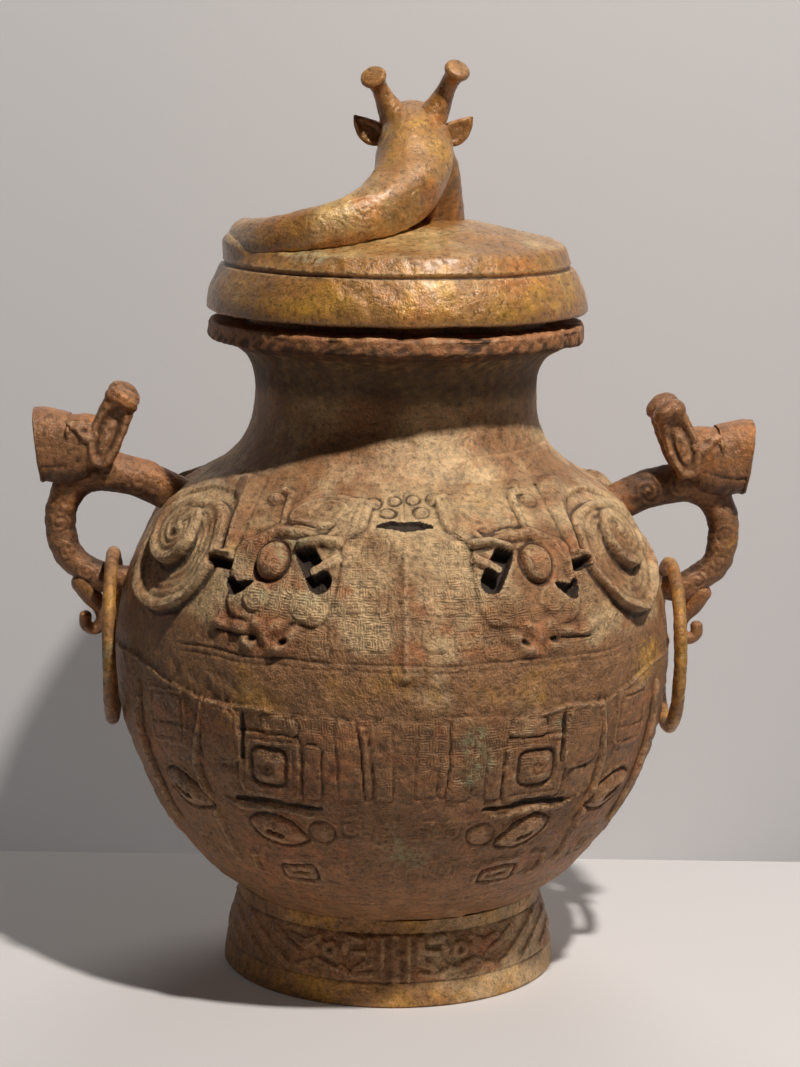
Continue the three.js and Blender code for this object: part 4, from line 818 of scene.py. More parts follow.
def wall_marks(azimuth, level, height):
    """Where the wall is pale, golden, red, green or sooty: smooth bands of level, round spots of rust and
    salts, and soot in the depths. Painted shade darkens the left of the plain band and deep holes, and a
    painted shadow of the rim falls on the neck."""
    def band(low, high, blend):
        """1 between two levels and 0 outside them, smooth over a blend."""
        return soft(low - level, blend) * soft(level - high, blend)

    def round_spot(degrees, level0, size):
        """A bell round a place so many degrees away and at a level."""
        return bell(np.hypot(np.radians(degrees) * radius_at(level), run_at(level) - run_at(level0)), size)

    marks = {"green": np.full(np.shape(level), GREEN_GROUND)}
    for a0, level0, size, amount in GREEN_SPOTS:
        marks["green"] += amount * round_spot(wrapped(azimuth - a0), level0, size)
    for mark, (ground, *bands) in WALL_BANDS.items():
        marks[mark] = ground + sum(amount * band(*limits) for amount, *limits in bands)
    marks["gold"] += 0.3 * band(204, 240, 14) * soft(np.abs(azimuth) - 3, 4)
    for a0, level0, size in RUSTY_SPOTS:
        spot = round_spot(from_facing(azimuth) - a0, level0, size)
        marks["red"] += 0.5 * spot
        marks["tone"] -= 0.5 * spot
    for amount, a0, breadth, *limits in WALL_SHADE_AND_STAINS:
        marks["tone"] += amount * bell(azimuth - a0, breadth) * band(*limits)
    # painted shade: cuts deeper than about a millimetre are darkened more, as a deeper hole would be
    sunk = np.clip((height + 0.9) / 1.6, -1, 0)
    for shift, axis in ((1, 0), (-1, 0), (1, 1), (-1, 1)):
        sunk = np.minimum(sunk, np.roll(sunk, shift, axis))
    # the band from level 322 to 350 is the painted shadow of the rim and lid on the neck
    marks["relief"] = np.clip(hollows(height) + 3 * sunk - 0.7 * band(322, 350, 16), -2, 1)
    return marks


def wall_patch(name, facing, low, high, rows, carving, wear):
    """Half of the wall round a facing, between two levels: the wall's profile, a carving mirrored about the
    facing with its places wavering as under a free hand, and unevenness. Fine lines lie where the mark says:
    near the facing and below the flower, but not on the plain band."""
    azimuth, run = np.meshgrid(
        facing + np.linspace(-90, 90, HALF_COLUMNS), np.linspace(run_at(low), run_at(high), rows)
    )
    level = np.interp(run, WALL_RUN, WALL_LEVEL)
    points = turned(azimuth, np.interp(run, WALL_RUN, WALL_RADIUS), level)
    free_a = wear * worn(points, 11, *FREE_AZIMUTH_WAVES)
    free_level = wear * worn(points, 13, *FREE_LEVEL_WAVES)
    near_edge = soft(low + 3 - level, 6) * soft(level - high + 3, 6)
    side = np.abs(azimuth - facing)
    height = carving(np.abs(side + free_a * near_edge * soft(4 - side, 5)), level + free_level * near_edge)
    height = height * (0.9 + 0.14 * unevenness(points, 30, 15)) + wear * worn(points, WALL_SEED, *WALL_WAVES)
    marks = wall_marks(azimuth, level, height)
    for mark, amount, size, seed in PATCHY_MARKS:
        marks[mark] += amount * unevenness(points, size, seed)
    plain = soft(level - PLAIN_BAND[1], 8) * soft(PLAIN_BAND[0] - level, 4)
    marks["lines"] = (1 - plain) * soft(level - LINES_TOP, 8) * soft(side - LINES_REACH, 10)
    uv = np.stack([np.radians(azimuth) * UV_ROUND, run * UV_LENGTH], axis=-1)
    return surface(name, carved(points, height), uv, marks, False)


SHOULDER_DRAGONS = ("dragon_front_right", "dragon_front_left", "dragon_back_right", "dragon_back_left")
for name, facing, nodes in (("shoulder_front", 0, ("jar", *SHOULDER_DRAGONS)), ("shoulder_back", 180, ())):
    made = wall_patch(name, facing, PANEL_TOP, ORNAMENT_TOP, SHOULDER_ROWS, shoulder_relief, SHOULDER_WEAR)
    set_piece(made, "vessel", "jar_bronze", jar_finish, *nodes)


# The lower belly's carving: broad flat masks in low relief, worn and filled with crust, under a plain band.
# It was cast with the wall; each mask has an almond eye, square scrolls and a raised flange at its side.
BELLY_ROWS = 168
BELLY_WEAR = 1.5
UPRIGHT_STRIPS = ((4.3, 4.6, 20.5, -1), (7.6, 1.5, 20, -1.5), (11, 5.8, 22, -2))  # azimuth, halves, lean
STRIPS_LEVEL = 150.5
SCROLL_SIDE_PLATES = ((18.4, 142, 4.2, 15), (25, 166.5, 9.5, 4.6))  # azimuth, level, half-width, half-height
# Strokes, by azimuth from the middle, level and half-breadth.
SCROLL_GROOVE = ((32.6, 171, 0.9), (33.2, 146, 0.7))
MASK_BROW = ((19, 117.4, 1.2), (27, 118.6, 2.0), (36, 117.6, 2.0), (42, 124, 1.2))
BROW_GROOVE = ((17, 121.6, 0.5), (26, 122.6, 1.2), (36.4, 121.8, 0.8))
JAW_BAR = ((33.6, 90, 1.4), (37.6, 88, 2.2), (38.6, 80, 2.2), (35, 76, 1.2))
MASK_FLANGE = ((43.2, 173, 2.0), (45.6, 140, 3.0), (44.2, 108, 3.2), (43.6, 82, 2.2))
SIDE_EDGE = ((64, 172, 2.2), (64.6, 140, 4.2), (62, 96, 2.4))
# Plates with a square spiral in each: azimuth, level, half-width, half-height, corner, rise and edge of the
# plate, and depth, pitch, reach and hand of its spiral.
LOWER_SCROLLS = (
    (10.4, 86, 7, 8.5, 2.6, 1.1, 0.9, 0.8, 3.4, 8, 1), (4, 109, 5.6, 10, 2.6, 1.1, 0.9, 0.8, 3.4, 6.6, -1),
    (10.8, 110.5, 5, 8.5, 2.6, 1.1, 0.9, 0.8, 3.4, 6, 1), (3.4, 82, 5, 9, 2.6, 1.1, 0.9, 0.8, 3.4, 6, 1),
)
SIDE_SCROLLS = (
    (78.5, 148, 22, 24, 5, 0.5, 1.0, 0.9, 8, 20, 1), (77, 98, 18, 17, 5, 1.4, 1.0, 1.1, 7.2, 14, -1),
    (53.5, 88, 10.5, 10, 3.4, 1.4, 1.0, 1.0, 5, 8.5, 1),
)
CLOSING_LINES = (66, 61)  # levels
DEEPEST_GROOVE = -1.4


def almond_at(spot, a0, level0, turn, half_long, half_high):
    """Distance to an almond, the common part of two rounds, turned by an angle, with places along it."""
    x, y = tilted(*spot(a0, level0), turn)
    aside = (half_long**2 - half_high**2) / (2 * half_high)
    shape = np.maximum(np.hypot(x, y + aside), np.hypot(x, y - aside)) - aside - half_high
    return shape, x, y


def scrolls(height, spot, plates):
    """The height lifted to flat plates, with a square spiral cut into each."""
    for a0, level0, half_x, half_y, corner, by, edge, deep, pitch, reach, hand in plates:
        x, y = spot(a0, level0)
        height = raised(height, block(x, y, half_x, half_y, corner), by, edge)
        height = height - deep * spiral_lines(x, y, pitch, reach, True, hand)
    return height


def belly_relief(a, level):
    """Height of the lower belly's carving at an azimuth from the nearest middle and a level: flat plates with
    crisp edges, laid over each other by the greater height, then grooves taken out."""
    spot, line = places(a, level)
    top = 172.5 + 3 * soft(28 - a, 10) - 3 * bell(a - 43, 3) + 10 * soft(53 - a, 18)
    height = 0.7 * soft(level - top, 1.2)
    height = height + 0.9 * soft(np.abs(level - top + 0.8) - 0.7, 1.2) * soft(26 - a, 8)
    for a0, half_x, half_y, lean in UPRIGHT_STRIPS:
        strip = block(*tilted(*spot(a0, STRIPS_LEVEL), lean), half_x, half_y, 1.2)
        height = raised(height, strip, by=1.0, edge=0.8)
        height = lined(height, strip, out=0.7, half=0.4, deep=0.6, edge=0.7)
    # square scroll: a frame, a deep square groove in it and a boss
    x, y = spot(27.6, 143)
    square = block(x, y, 17, 18.5, 4)
    height = raised(height, square, by=1.2, edge=0.9)
    height = lined(height, square, out=-3.4, half=0.45, deep=0.5, edge=0.7)
    height = lined(height, square, out=0.9, half=0.6, deep=0.7, edge=0.8)
    boss = block(x, y - 0.5, 8.2, 9, 4)
    height = lined(height, boss, out=1.5, half=1.1, deep=1.5, edge=1.2)
    height = domed(height, boss, by=2.6, half=4.5)
    height = height - 0.8 * spiral_lines(x, y - 1.5, 3.0, 5)
    for a0, level0, half_x, half_y in SCROLL_SIDE_PLATES:
        side_plate = block(*spot(a0, level0), half_x, half_y, 2)
        height = raised(height, side_plate, by=1.2, edge=0.9)
        height = lined(height, side_plate, out=0.8, half=0.4, deep=0.7, edge=0.7)
    # tablet at the upper side, cut off from the scroll by a dark groove, and a plate below it
    tablet = block(*spot(38.4, 158), 12.5, 17, 6)
    height = raised(height, tablet, by=1.9, edge=0.9)
    height = lined(height, tablet, out=-2.4, half=0.4, deep=0.5, edge=0.7)
    height = cut(height, line(SCROLL_GROOVE), deep=2.0, edge=0.8)
    height = raised(height, block(*spot(39.6, 131), 9, 9, 3), by=1.3, edge=1.0)
    # brow: a thin deep groove over a rounded lid
    height = domed(height, line(MASK_BROW), by=2.6, half=2.0)
    height = cut(height, line(BROW_GROOVE), deep=2.6, edge=0.9)
    # almond eye with a slit pupil, and a round boss beside it
    eye, x, y = almond_at(spot, 27.8, 106.5, 20, 16.5, 8.6)
    height = raised(height, eye - 2.4, by=1.5, edge=1.0)
    height = lined(height, eye, out=0.5, half=0.8, deep=1.9, edge=0.9)
    height = domed(height, eye, by=4.2, half=8)
    height = cut(height, block(x + 0.5, y + 1.4, 5, 1.3, 1.2), deep=2.8, edge=0.9)
    ball = np.hypot(*spot(17.6, 107.7)) - 6.4
    height = domed(height, ball, by=2.0, half=6.4)
    height = lined(height, ball, out=0.8, half=0.6, deep=0.9, edge=0.8)
    # jaw: squared hooks with a thick outer bar, and small scrolls in front of it
    x, y = spot(26, 82)
    height = raised(height, block(x, y, 15, 10.5, 3.6), by=1.4, edge=0.9)
    height = lined(height, block(x + 1, y + 1, 9.5, 5.6, 2.4), out=0, half=0.9, deep=1.7, edge=0.9)
    height = cut(height, block(x + 2, y + 1, 5, 0.8, 0.6), deep=1.4, edge=0.8)
    height = domed(height, line(JAW_BAR), by=2.6, half=2.2)
    height = scrolls(height, spot, LOWER_SCROLLS)
    # raised flange between the masks, and the side mask with its own eye and edge
    height = domed(height, line(MASK_FLANGE), by=3.4, half=3.2)
    x, y = spot(53.5, 160)
    brow_plate = block(x, y, 15, 16, 4)
    height = raised(height, brow_plate, by=1.5, edge=0.9)
    height = lined(height, brow_plate, out=-3.2, half=0.5, deep=0.9, edge=0.8)
    height = lined(height, y, out=-4, half=0.5, deep=0.9 * soft(np.abs(x) - 13, 2), edge=0.8)
    eye, x, y = almond_at(spot, 51, 121, 22, 18, 9)
    height = raised(height, eye - 2.6, by=1.7, edge=1.0)
    height = lined(height, eye, out=0.4, half=0.9, deep=2.2, edge=1.0)
    height = domed(height, eye, by=4.4, half=8.5)
    height = cut(height, block(x, y + 1, 6.5, 1.4, 1.3), deep=2.8, edge=0.9)
    height = domed(height, line(SIDE_EDGE), by=4.6, half=4)
    height = scrolls(height, spot, SIDE_SCROLLS)
    for level0 in CLOSING_LINES:
        height = lined(height, run_at(level) - run_at(level0), out=0, half=0.6, deep=0.7, edge=1.0)
    return np.maximum(height, DEEPEST_GROOVE) * soft(level - top - 2, 2) * soft(56 - level, 6)


for name, facing in (("belly_front", 0), ("belly_back", 180)):
    made = wall_patch(name, facing, FOOT_HEIGHT, PANEL_TOP, BELLY_ROWS, belly_relief, BELLY_WEAR)
    set_piece(made, "vessel", "jar_bronze", jar_finish)


# The neck, rim and inside of the jar: the plain upper end of the same casting. The rim is a flat thick lip
# with a pitted, chipped edge; inside, the wall runs down to the floor.
NECK_COLUMNS = 361
NECK_LEDGE = 293  # level of the low ledge round the foot of the neck
LEDGE_AZIMUTH = 38  # of its middle
LEDGE_REACH = 38  # degrees to each side
CHIPPED_LEVEL = 340  # the rim is chipped from here up
CRUST_LEVEL = 346  # and crusted from here up
INSIDE_ROWS = 40
OUTSIDE_STEP = 0.9  # between rows
MOUTH_STEP = 1.5
INSIDE_STEP = 6
FLOOR_RADIUS = 70


def round_piece(name, profile, rows_apart, height_of, marks_of, columns):
    """A profile turned about Z. rows_apart gives the distance between rows for each stretch of the profile;
    height_of gives the carving from azimuth, radius, level and points, and marks_of the patina from azimuth,
    radius, level and that height."""
    profile = np.array(profile, float)
    run = length_along(profile)
    cuts = [np.arange(run[k], run[k + 1], step) for k, step in enumerate(rows_apart)]
    even = np.concatenate([*cuts, run[-1:]])
    azimuth, even_run = np.meshgrid(np.linspace(-180, 180, columns), even)
    radius, level = (np.interp(even_run, run, side) for side in profile.T)
    points = turned(azimuth, radius, level)
    points[:, -1] = points[:, 0]
    height = height_of(azimuth, radius, level, points)
    height[:, -1] = height[:, 0]
    uv = np.stack([np.radians(azimuth), even_run * UV_LENGTH], axis=-1)
    return surface(name, carved(points, height), uv, marks_of(azimuth, radius, level, height), True)


def neck_height(azimuth, radius, level, points):
    """Unevenness, a pitted and chipped rim, and a low ledge round the foot of the neck. Where the neck meets
    the shoulder it wavers as the shoulder does."""
    edge = soft(CHIPPED_LEVEL - level, 8) * soft(NECK_RADIUS + 6 - radius, 6)
    outside = soft(ORNAMENT_TOP + 6 - level, 8)
    chipped = worn(points, 4, (0.25 + 0.2 * edge, 30), (0.08 + 0.1 * edge, 7), (0.05 + 0.1 * edge, 3.2))
    ledge = soft(level - NECK_LEDGE - 2.5 * np.sin(np.radians(azimuth)), 1.2)
    ledge = ledge * soft(np.abs(azimuth - LEDGE_AZIMUTH) - LEDGE_REACH, 20)  # only at the front right
    base = worn(points, WALL_SEED, *WALL_WAVES) * (1 - outside) + (chipped + ledge) * outside
    return base * soft(radius - RIM_RADIUS - 3, 1)


def neck_marks(azimuth, radius, level, height):
    """Pale olive on the neck, pink-brown crust on the rim, soot inside."""
    marks = wall_marks(azimuth, level, height)
    rim = soft(CRUST_LEVEL - level, 5) * soft(MOUTH_RADIUS - radius, 4)
    inside = soft(radius - radius_at(level) + 3, 1) * soft(level - RIM_LEVEL + 4, 2)
    marks["tone"] *= 1 - 0.8 * rim
    marks["red"] += 0.5 * rim
    marks["relief"] = np.clip(marks["relief"] * (1 + rim) - 2 * inside, -2, 1)
    return marks


above = np.column_stack([WALL_RADIUS, WALL_LEVEL])[WALL_LEVEL > ORNAMENT_TOP][::3]
lip_level = RIM_LEVEL - RIM_THICKNESS
outside_rows = [
    (radius_at(ORNAMENT_TOP), ORNAMENT_TOP), *above, (RIM_RADIUS - 0.9, lip_level + 0.2),
    (RIM_RADIUS, lip_level + 1.4), (RIM_RADIUS, RIM_LEVEL - 2.2), (RIM_RADIUS - 0.8, RIM_LEVEL - 0.7),
    (RIM_RADIUS - 2.4, RIM_LEVEL),
]
mouth_rows = [(MOUTH_RADIUS + 1.5, RIM_LEVEL), (MOUTH_RADIUS, RIM_LEVEL - 1), (NECK_RADIUS, THROAT_LEVEL)]
inside_rows = [
    (radius_at(level) - WALL_THICKNESS * (1 + 0.5 * soft(level - 90, 40)), level)
    for level in np.linspace(THROAT_LEVEL - 8, FLOOR_LEVEL + 3, INSIDE_ROWS)
]
neck_profile = [*outside_rows, *mouth_rows, *inside_rows, (FLOOR_RADIUS, FLOOR_LEVEL), (0, FLOOR_LEVEL)]
neck_steps = [OUTSIDE_STEP] * len(outside_rows) + [MOUTH_STEP] * len(mouth_rows)
neck_steps += [INSIDE_STEP] * (len(neck_profile) - 1 - len(neck_steps))
made = round_piece("jar_neck", neck_profile, neck_steps, neck_height, neck_marks, NECK_COLUMNS)
set_piece(made, "vessel", "jar_bronze", neck_finish)
for place in ("right_upper", "right_lower", "left_upper", "left_lower", "back_upper", "back_lower"):
    rivet = bpy.data.objects[f"rivet_{place}"]
    rivet.data.materials.clear()
    rivet.data.materials.append(neck_finish)


# The foot: a flared ring of bronze under the floor, cast with the jar. A band of paired dragons with hooked
# bodies runs round it in low relief, between a smooth collar and a plain worn base.
FOOT_RADIUS = 92.5
FOOT_WALL = 5.5
FOOT_FLOOR = 40
FOOT_TOP_RADIUS = float(belly_radius(FOOT_HEIGHT))
FOOT_COLUMNS = 801
BAND_RADIUS = 88
BAND_LINES = (38.6, 13.6)  # levels
BAND_RISE = 0.95
BAND_HOOKS = (  # azimuth from the middle, level and half-breadth
    ((0, 37, 2.2), (0, 15, 2.2)), ((4.6, 37, 1.2), (4.6, 15, 1.2)),
    ((9, 36, 1.8), (9, 24, 2.2), (14, 20, 1.6)), ((12.5, 35, 1.6), (17.5, 35.5, 2.2), (18, 29, 1.6)),
    ((11, 29, 1.5), (15, 28.5, 1.5)), ((8.5, 18, 1.4), (16, 16.5, 2), (19, 21, 1.4)),
    ((28, 35, 1.4), (33, 30, 2.6), (40, 33, 1.6)), ((20, 19, 1.4), (28, 22, 2.2), (36, 18, 1.4)),
    ((36, 26, 1.6), (48, 34, 2.4)), ((40, 17, 1.6), (52, 27, 2.6), (64, 36, 1.6)),
    ((52, 17, 1.6), (64, 26, 2.8), (78, 33, 1.6)), ((66, 17, 1.4), (78, 23, 2.4), (88, 20, 1.6)),
)
BAND_EYE = (23.5, 29.5)  # azimuth and level


def foot_height(azimuth, radius, level, points):
    """Raised hooks, bars and an eye in the band, a line above and below it, and unevenness."""
    a = from_facing(azimuth)
    height = np.zeros_like(a)
    for way in BAND_HOOKS:
        middle = np.mean([a0 for a0, _, _ in way])
        way = [(math.radians(a0 - middle) * BAND_RADIUS, level0, half) for a0, level0, half in way]
        hook = stroke(np.radians(a - middle) * BAND_RADIUS, level, way)
        height = np.maximum(height, BAND_RISE * soft(hook, 1.1))
    eye = np.hypot(np.radians(a - BAND_EYE[0]) * BAND_RADIUS, level - BAND_EYE[1])
    height = np.maximum(height, 1.1 * soft(eye - 4.4, 1.4)) - 0.8 * soft(eye - 1.6, 1.4)
    for level0 in BAND_LINES:
        height = lined(height, level - level0, out=0, half=0.5, deep=0.7, edge=0.9)
    outside = soft(FOOT_TOP_RADIUS - 2.5 - radius, 1) * soft(3 - level, 2)
    return (height + worn(points, 7, (0.25, 30), (0.12, 7), (0.07, 3))) * outside


def foot_marks(azimuth, radius, level, height):
    """Golden brown below and above the band, dark in it, and paler at the front right as painted light from
    the lamp.
    """
    band = soft(14 - level, 2) * soft(level - 38, 2)
    return {
        # the bell at azimuth 42 is painted light on the foot's lit front right
        "relief": hollows(height), "tone": 0.4 + 0.4 * bell(azimuth - 42, 26), "gold": 0.66 - 0.4 * band,
        "red": 0.35 + 0.2 * band, "green": 0.2,
    }


foot_rows = [  # radius, level, and distance between rows up to the next
    (0, FOOT_FLOOR, 12), (FOOT_TOP_RADIUS - FOOT_WALL, FOOT_FLOOR, 6), (FOOT_RADIUS - FOOT_WALL, 0.6, 1),
    (FOOT_RADIUS - FOOT_WALL + 0.6, 0, 2), (FOOT_RADIUS - 1.2, 0, 0.8), (FOOT_RADIUS - 0.2, 1, 0.7),
    (FOOT_RADIUS - 1.4, 10, 0.7), (FOOT_RADIUS - 3.2, 20, 0.7), (FOOT_RADIUS - 5, 30, 0.7),
    (FOOT_TOP_RADIUS + 0.3, 40, 0.7), (FOOT_TOP_RADIUS, FOOT_HEIGHT - 0.3, 0.7),
    (FOOT_TOP_RADIUS - 2, FOOT_HEIGHT, None),
]
foot_profile, foot_steps = [row[:2] for row in foot_rows], [row[2] for row in foot_rows[:-1]]
made = round_piece("foot", foot_profile, foot_steps, foot_height, foot_marks, FOOT_COLUMNS)
set_piece(made, "vessel", "jar_bronze", jar_finish, "foot_ring")


# The two ring handles: thick bent bars cast separately and locked into the wall by tenons. An arm rises from
# the shoulder to an animal's head, bends down in a loop and comes back to the belly, with a curled tail.
HANDLE_COLOURS = {
    "Brown": (0.34, 0.165, 0.08), "Olive": (0.48, 0.28, 0.13), "Ochre": (0.66, 0.35, 0.075),
    "Rust": (0.52, 0.215, 0.075), "Soot": (0.04, 0.022, 0.013), "Worn": (0.68, 0.46, 0.28),
    "Verdigris": (0.40, 0.42, 0.27),
}
handle_finish = bronze("handle_patina", HANDLE_COLOURS, metallic=0.15, gloss=0.95)
HANDLE_PIECE = ("vessel", "handle_bronze", handle_finish)  # body, slot and finish
HANDLE_SHIFTS = {"right": -3.3, "left": 1.2}  # up or down: the two handles aren't set at one level
# Courses of bars: x, y, z, half-width and half-thickness. All are for the right side.
LOOP_ROWS = (
    (112, 0, 256, 9.4, 10.6), (124, 0, 262.6, 9.4, 10.6), (138.7, 0, 269.4, 9.4, 10.6),
    (152, 0, 272.8, 9.6, 11), (164, 0, 273.4, 9.6, 11.4), (174.6, 0, 267, 8.8, 10.2),
    (180.8, 0, 256, 7.8, 8.8), (182.4, 0, 243.4, 7.2, 8.4), (179.6, 0, 230, 7, 8.2),
    (171, 0, 220.8, 7, 7.8), (159, 0, 215.4, 7, 6.6), (148, 0, 214.6, 7, 6.4), (140, 0, 214.4, 7, 6.4),
)
TAIL_ROWS = (
    (170.4, 0, 212, 6.6, 6.8), (166.4, 0, 204.6, 5.6, 5.8), (161.8, 0, 198.4, 4.4, 4.4),
    (160, 0, 192.2, 3.6, 3.6), (161.8, 0, 187.2, 3.4, 3.4), (165.4, 0, 185.6, 3.3, 3.3),
    (169, 0, 188, 3.3, 3.3), (169.2, 0, 192.8, 3.4, 3.4),
)
LOOP_SCROLLS = (  # length along the bar, radius and hand
    (30, 7, 1), (48, 6, -1), (92, 6, 1), (108, 6, -1), (124, 6, 1), (138, 5, -1),
)
BAR_RADIUS = 8.5  # for lengths round the bar
FLANKS = ((0, 1), (360, 1), (180, -1))  # angle of each flank of a bar, and the sense of angles there
FRONT_TO_BACK = (0, 1, 0)
SIDE_TO_SIDE = (1, 0, 0)
FINE_STEPS = 400  # along a course before it is spaced evenly
CAP_STEPS = 6


def tube(rows, steps, around, across, square=1.0, cap=0.8):
    """A tube along a smooth course of rows (x, y, z, half-width, half-thickness): at each step an oval, or a
    rounder square as square falls below 1, with ends drawn in to a dome. It gives the points, the length run
    along and the angle round, with the width side at 0 degrees."""
    fine = smooth_through(rows, FINE_STEPS)
    run = length_along(fine[:, :3])
    even = np.linspace(0, run[-1], steps)
    at = np.column_stack([np.interp(even, run, side) for side in fine.T])
    way = np.gradient(at[:, :3], axis=0)
    way /= np.linalg.norm(way, axis=1, keepdims=True)
    lean = np.radians(np.linspace(0, 90, CAP_STEPS + 1)[:-1])
    drop, size = np.cos(lean)[:, None], np.sin(lean)[:, None]
    first, last = cap * at[0, 4], cap * at[-1, 4]
    path = np.vstack([at[0, :3] - way[0] * first * drop, at[:, :3], at[-1, :3] + way[-1] * last * drop[::-1]])
    wide, thick = np.vstack([at[0, 3:] * size, at[:, 3:], at[-1, 3:] * size[::-1]]).T[..., None]
    way = np.pad(way, ((CAP_STEPS, CAP_STEPS), (0, 0)), mode="edge")
    along = np.concatenate([-first * drop[:, 0], even, even[-1] + last * drop[::-1, 0]])
    side = np.asarray(across, float) - way * (way @ np.asarray(across, float))[:, None]
    side /= np.linalg.norm(side, axis=1, keepdims=True)
    up = np.cross(way, side)
    angle = np.linspace(0, 2 * np.pi, around + 1)
    c, s = (np.sign(v) * np.abs(v) ** square for v in (np.cos(angle), np.sin(angle)))
    points = path[:, None] + side[:, None] * (wide * c)[..., None] + up[:, None] * (thick * s)[..., None]
    points[:, -1] = points[:, 0]
    return points, *np.broadcast_arrays(along[:, None], np.degrees(angle)[None])


BAR_WAVES = ((0.5, 22), (0.3, 7), (0.15, 3))  # amount and size of a bar's unevenness
BAR_MARKS = {"tone": 0.3, "gold": 0.35, "red": 0.5, "green": 0.14}


def bronze_form(name, shape, height, wear, seed, mirror=False, dark=0, aside=0, **marks):
    """A closed form from a tube: carved by a height, made uneven, and mirrored in X if asked, then moved
    aside. Dark is how far painted shade darkens it with the soot colour; marks that differ from those of
    other bars are named."""
    points, along, angle = shape
    height = height + wear * worn(points, seed, *BAR_WAVES)
    height[:, -1] = height[:, 0]
    points = carved(points, height)
    uv = np.stack([along * UV_LENGTH, angle / 360], axis=-1)
    marks = {"relief": np.clip(hollows(height, 3) - dark, -1, 1), **BAR_MARKS, **marks}
    if mirror:
        points, uv = points[:, ::-1] * (-1, 1, 1), uv[:, ::-1]
        marks["relief"] = marks["relief"][:, ::-1]
    return surface(name, points + (aside, 0, 0), uv, marks, True)


def shifted(rows, up):
    """Rows of a tube set higher or lower."""
    return [(x, y, z + up, *halves) for x, y, z, *halves in rows]


def loop_carving(along, angle):
    """Scrolls cut into both flanks of arm and loop, and a swell under the bend."""
    height = np.zeros(along.shape)
    for flank, sense in FLANKS:
        for place, half, hand in LOOP_SCROLLS:
            x, y = along - place, np.radians(angle - flank) * BAR_RADIUS * sense
            height = height - 0.6 * spiral_lines(x, y, 3.6, half, False, hand)
            height = height + 0.3 * soft(np.hypot(x, y) - half, 2)
    return height + 3.0 * bell(along - 132, 7) * bell(wrapped(angle - 90), 50)


for side_name, mirror in (("right", False), ("left", True)):
    shape = tube(shifted(LOOP_ROWS, HANDLE_SHIFTS[side_name]), steps=190, around=72, across=FRONT_TO_BACK)
    _, along, angle = shape
    painted_shade = 0.75 * soft(np.abs(angle - 270) - 55, 60)  # painted shade on the inner side of the loop
    if side_name == "right":
        painted_shade = np.maximum(painted_shade, 0.7 * soft(np.abs(along - 32) - 14, 12))  # painted shade on its arm, below the head
    carving = loop_carving(along, angle)
    made = bronze_form(
        f"handle_loop_{side_name}", shape, carving, wear=0.6, seed=20, mirror=mirror, dark=painted_shade, gold=0.4
    )
    set_piece(made, *HANDLE_PIECE, f"handle_{side_name}")
    shape = tube(shifted(TAIL_ROWS, HANDLE_SHIFTS[side_name]), steps=90, around=36, across=FRONT_TO_BACK)
    made = bronze_form(f"handle_tail_{side_name}", shape, 0, wear=0.35, seed=24, mirror=mirror, gold=0.5)
    set_piece(made, *HANDLE_PIECE)


# The animals' heads over the handles' upper bends: blunt square muzzles with round eyes, comma brows and a
# mouth line, cast on to the arms. Two upright ears with hollow fronts and curled tips stand behind.
HEAD_ROWS = (
    (156, 0, 288, 10, 8.5), (160.5, 0, 288.6, 15, 14), (168, 0, 287.8, 16.8, 16.6), (177, 0, 285.6, 16.8, 19),
    (186, 0, 287.2, 16.6, 19.4), (191.4, 0, 288, 16.8, 20), (194, 0, 287.8, 17, 20.4),
)
EAR_ROWS = (  # of the ear in front
    (160.4, -15, 280.5, 6.5, 4), (158.6, -15.2, 288, 8.8, 4.8), (155.8, -14.6, 296.5, 9.6, 5.2),
    (152.2, -13.8, 305, 9.2, 5.4), (149, -13.4, 312, 8.2, 5.6), (146.4, -13.2, 316, 6.4, 5.6),
)
EAR_ACROSS = (0.9, 0, 0.42)
HEAD_RADIUS = 18  # for lengths round the head
EAR_RADIUS = 7.5
EYE_ALONG, EYE_UP = 22, 9  # place of the eye from the back of the head and from its side
# Strokes from the eye: along, up and half-breadth.
COMMA_BROW = ((-13, -3, 4.2), (-11.5, 2.5, 4.2), (-7.5, 4.6, 3.2), (-3, 5.6, 1.0))
MOUTH_LINE = ((18, -17, 0.5), (7, -16, 0.7), (-3, -12, 0.7), (-9, -14, 0.3))


def round_boss(distance, half, by):
    """A round boss, the upper half of a ball flattened or heightened to by."""
    return by * np.sqrt(np.clip(1 - (distance / half) ** 2, 0, 1))


def head_carving(along, angle):
    """Eye bosses, brow commas and the mouth line; the angle is 0 at the side, 90 above."""
    height = np.zeros(along.shape)
    for flank, sense in FLANKS:
        x, y = along - EYE_ALONG, np.radians(angle - flank) * HEAD_RADIUS * sense - EYE_UP
        eye = np.hypot(x, y)
        height = lined(height + round_boss(eye, 3.6, 2.4), eye, out=4.8, half=0.6, deep=0.8, edge=1)
        height = np.maximum(height, 2.2 * soft(stroke(x, y, COMMA_BROW), 2.2))
        height = cut(height, np.hypot(x + 10.6, y + 0.6) - 1.6, deep=1.3, edge=1.4)
        height = cut(height, stroke(x, y, MOUTH_LINE), deep=0.8, edge=1.6)
    return height


def ear_carving(along, angle):
    """A hollow outer face inside a thick rim, with a long leaf in it and a rolled tip; that face is at 270
    degrees."""
    y = np.radians(wrapped(angle - 270)) * EAR_RADIUS
    leaf = oval(along - 14, y + 0.6, 9, 2.6)
    height = 1.6 * soft(leaf, 1.8) - 3.2 * soft(oval(along - 16, y, 15, 5.8), 3)
    height = lined(height, leaf, out=-1.2, half=0.4, deep=0.9, edge=1)
    return height + 1.9 * soft(np.abs(along - 36.5) - 3, 3.5)


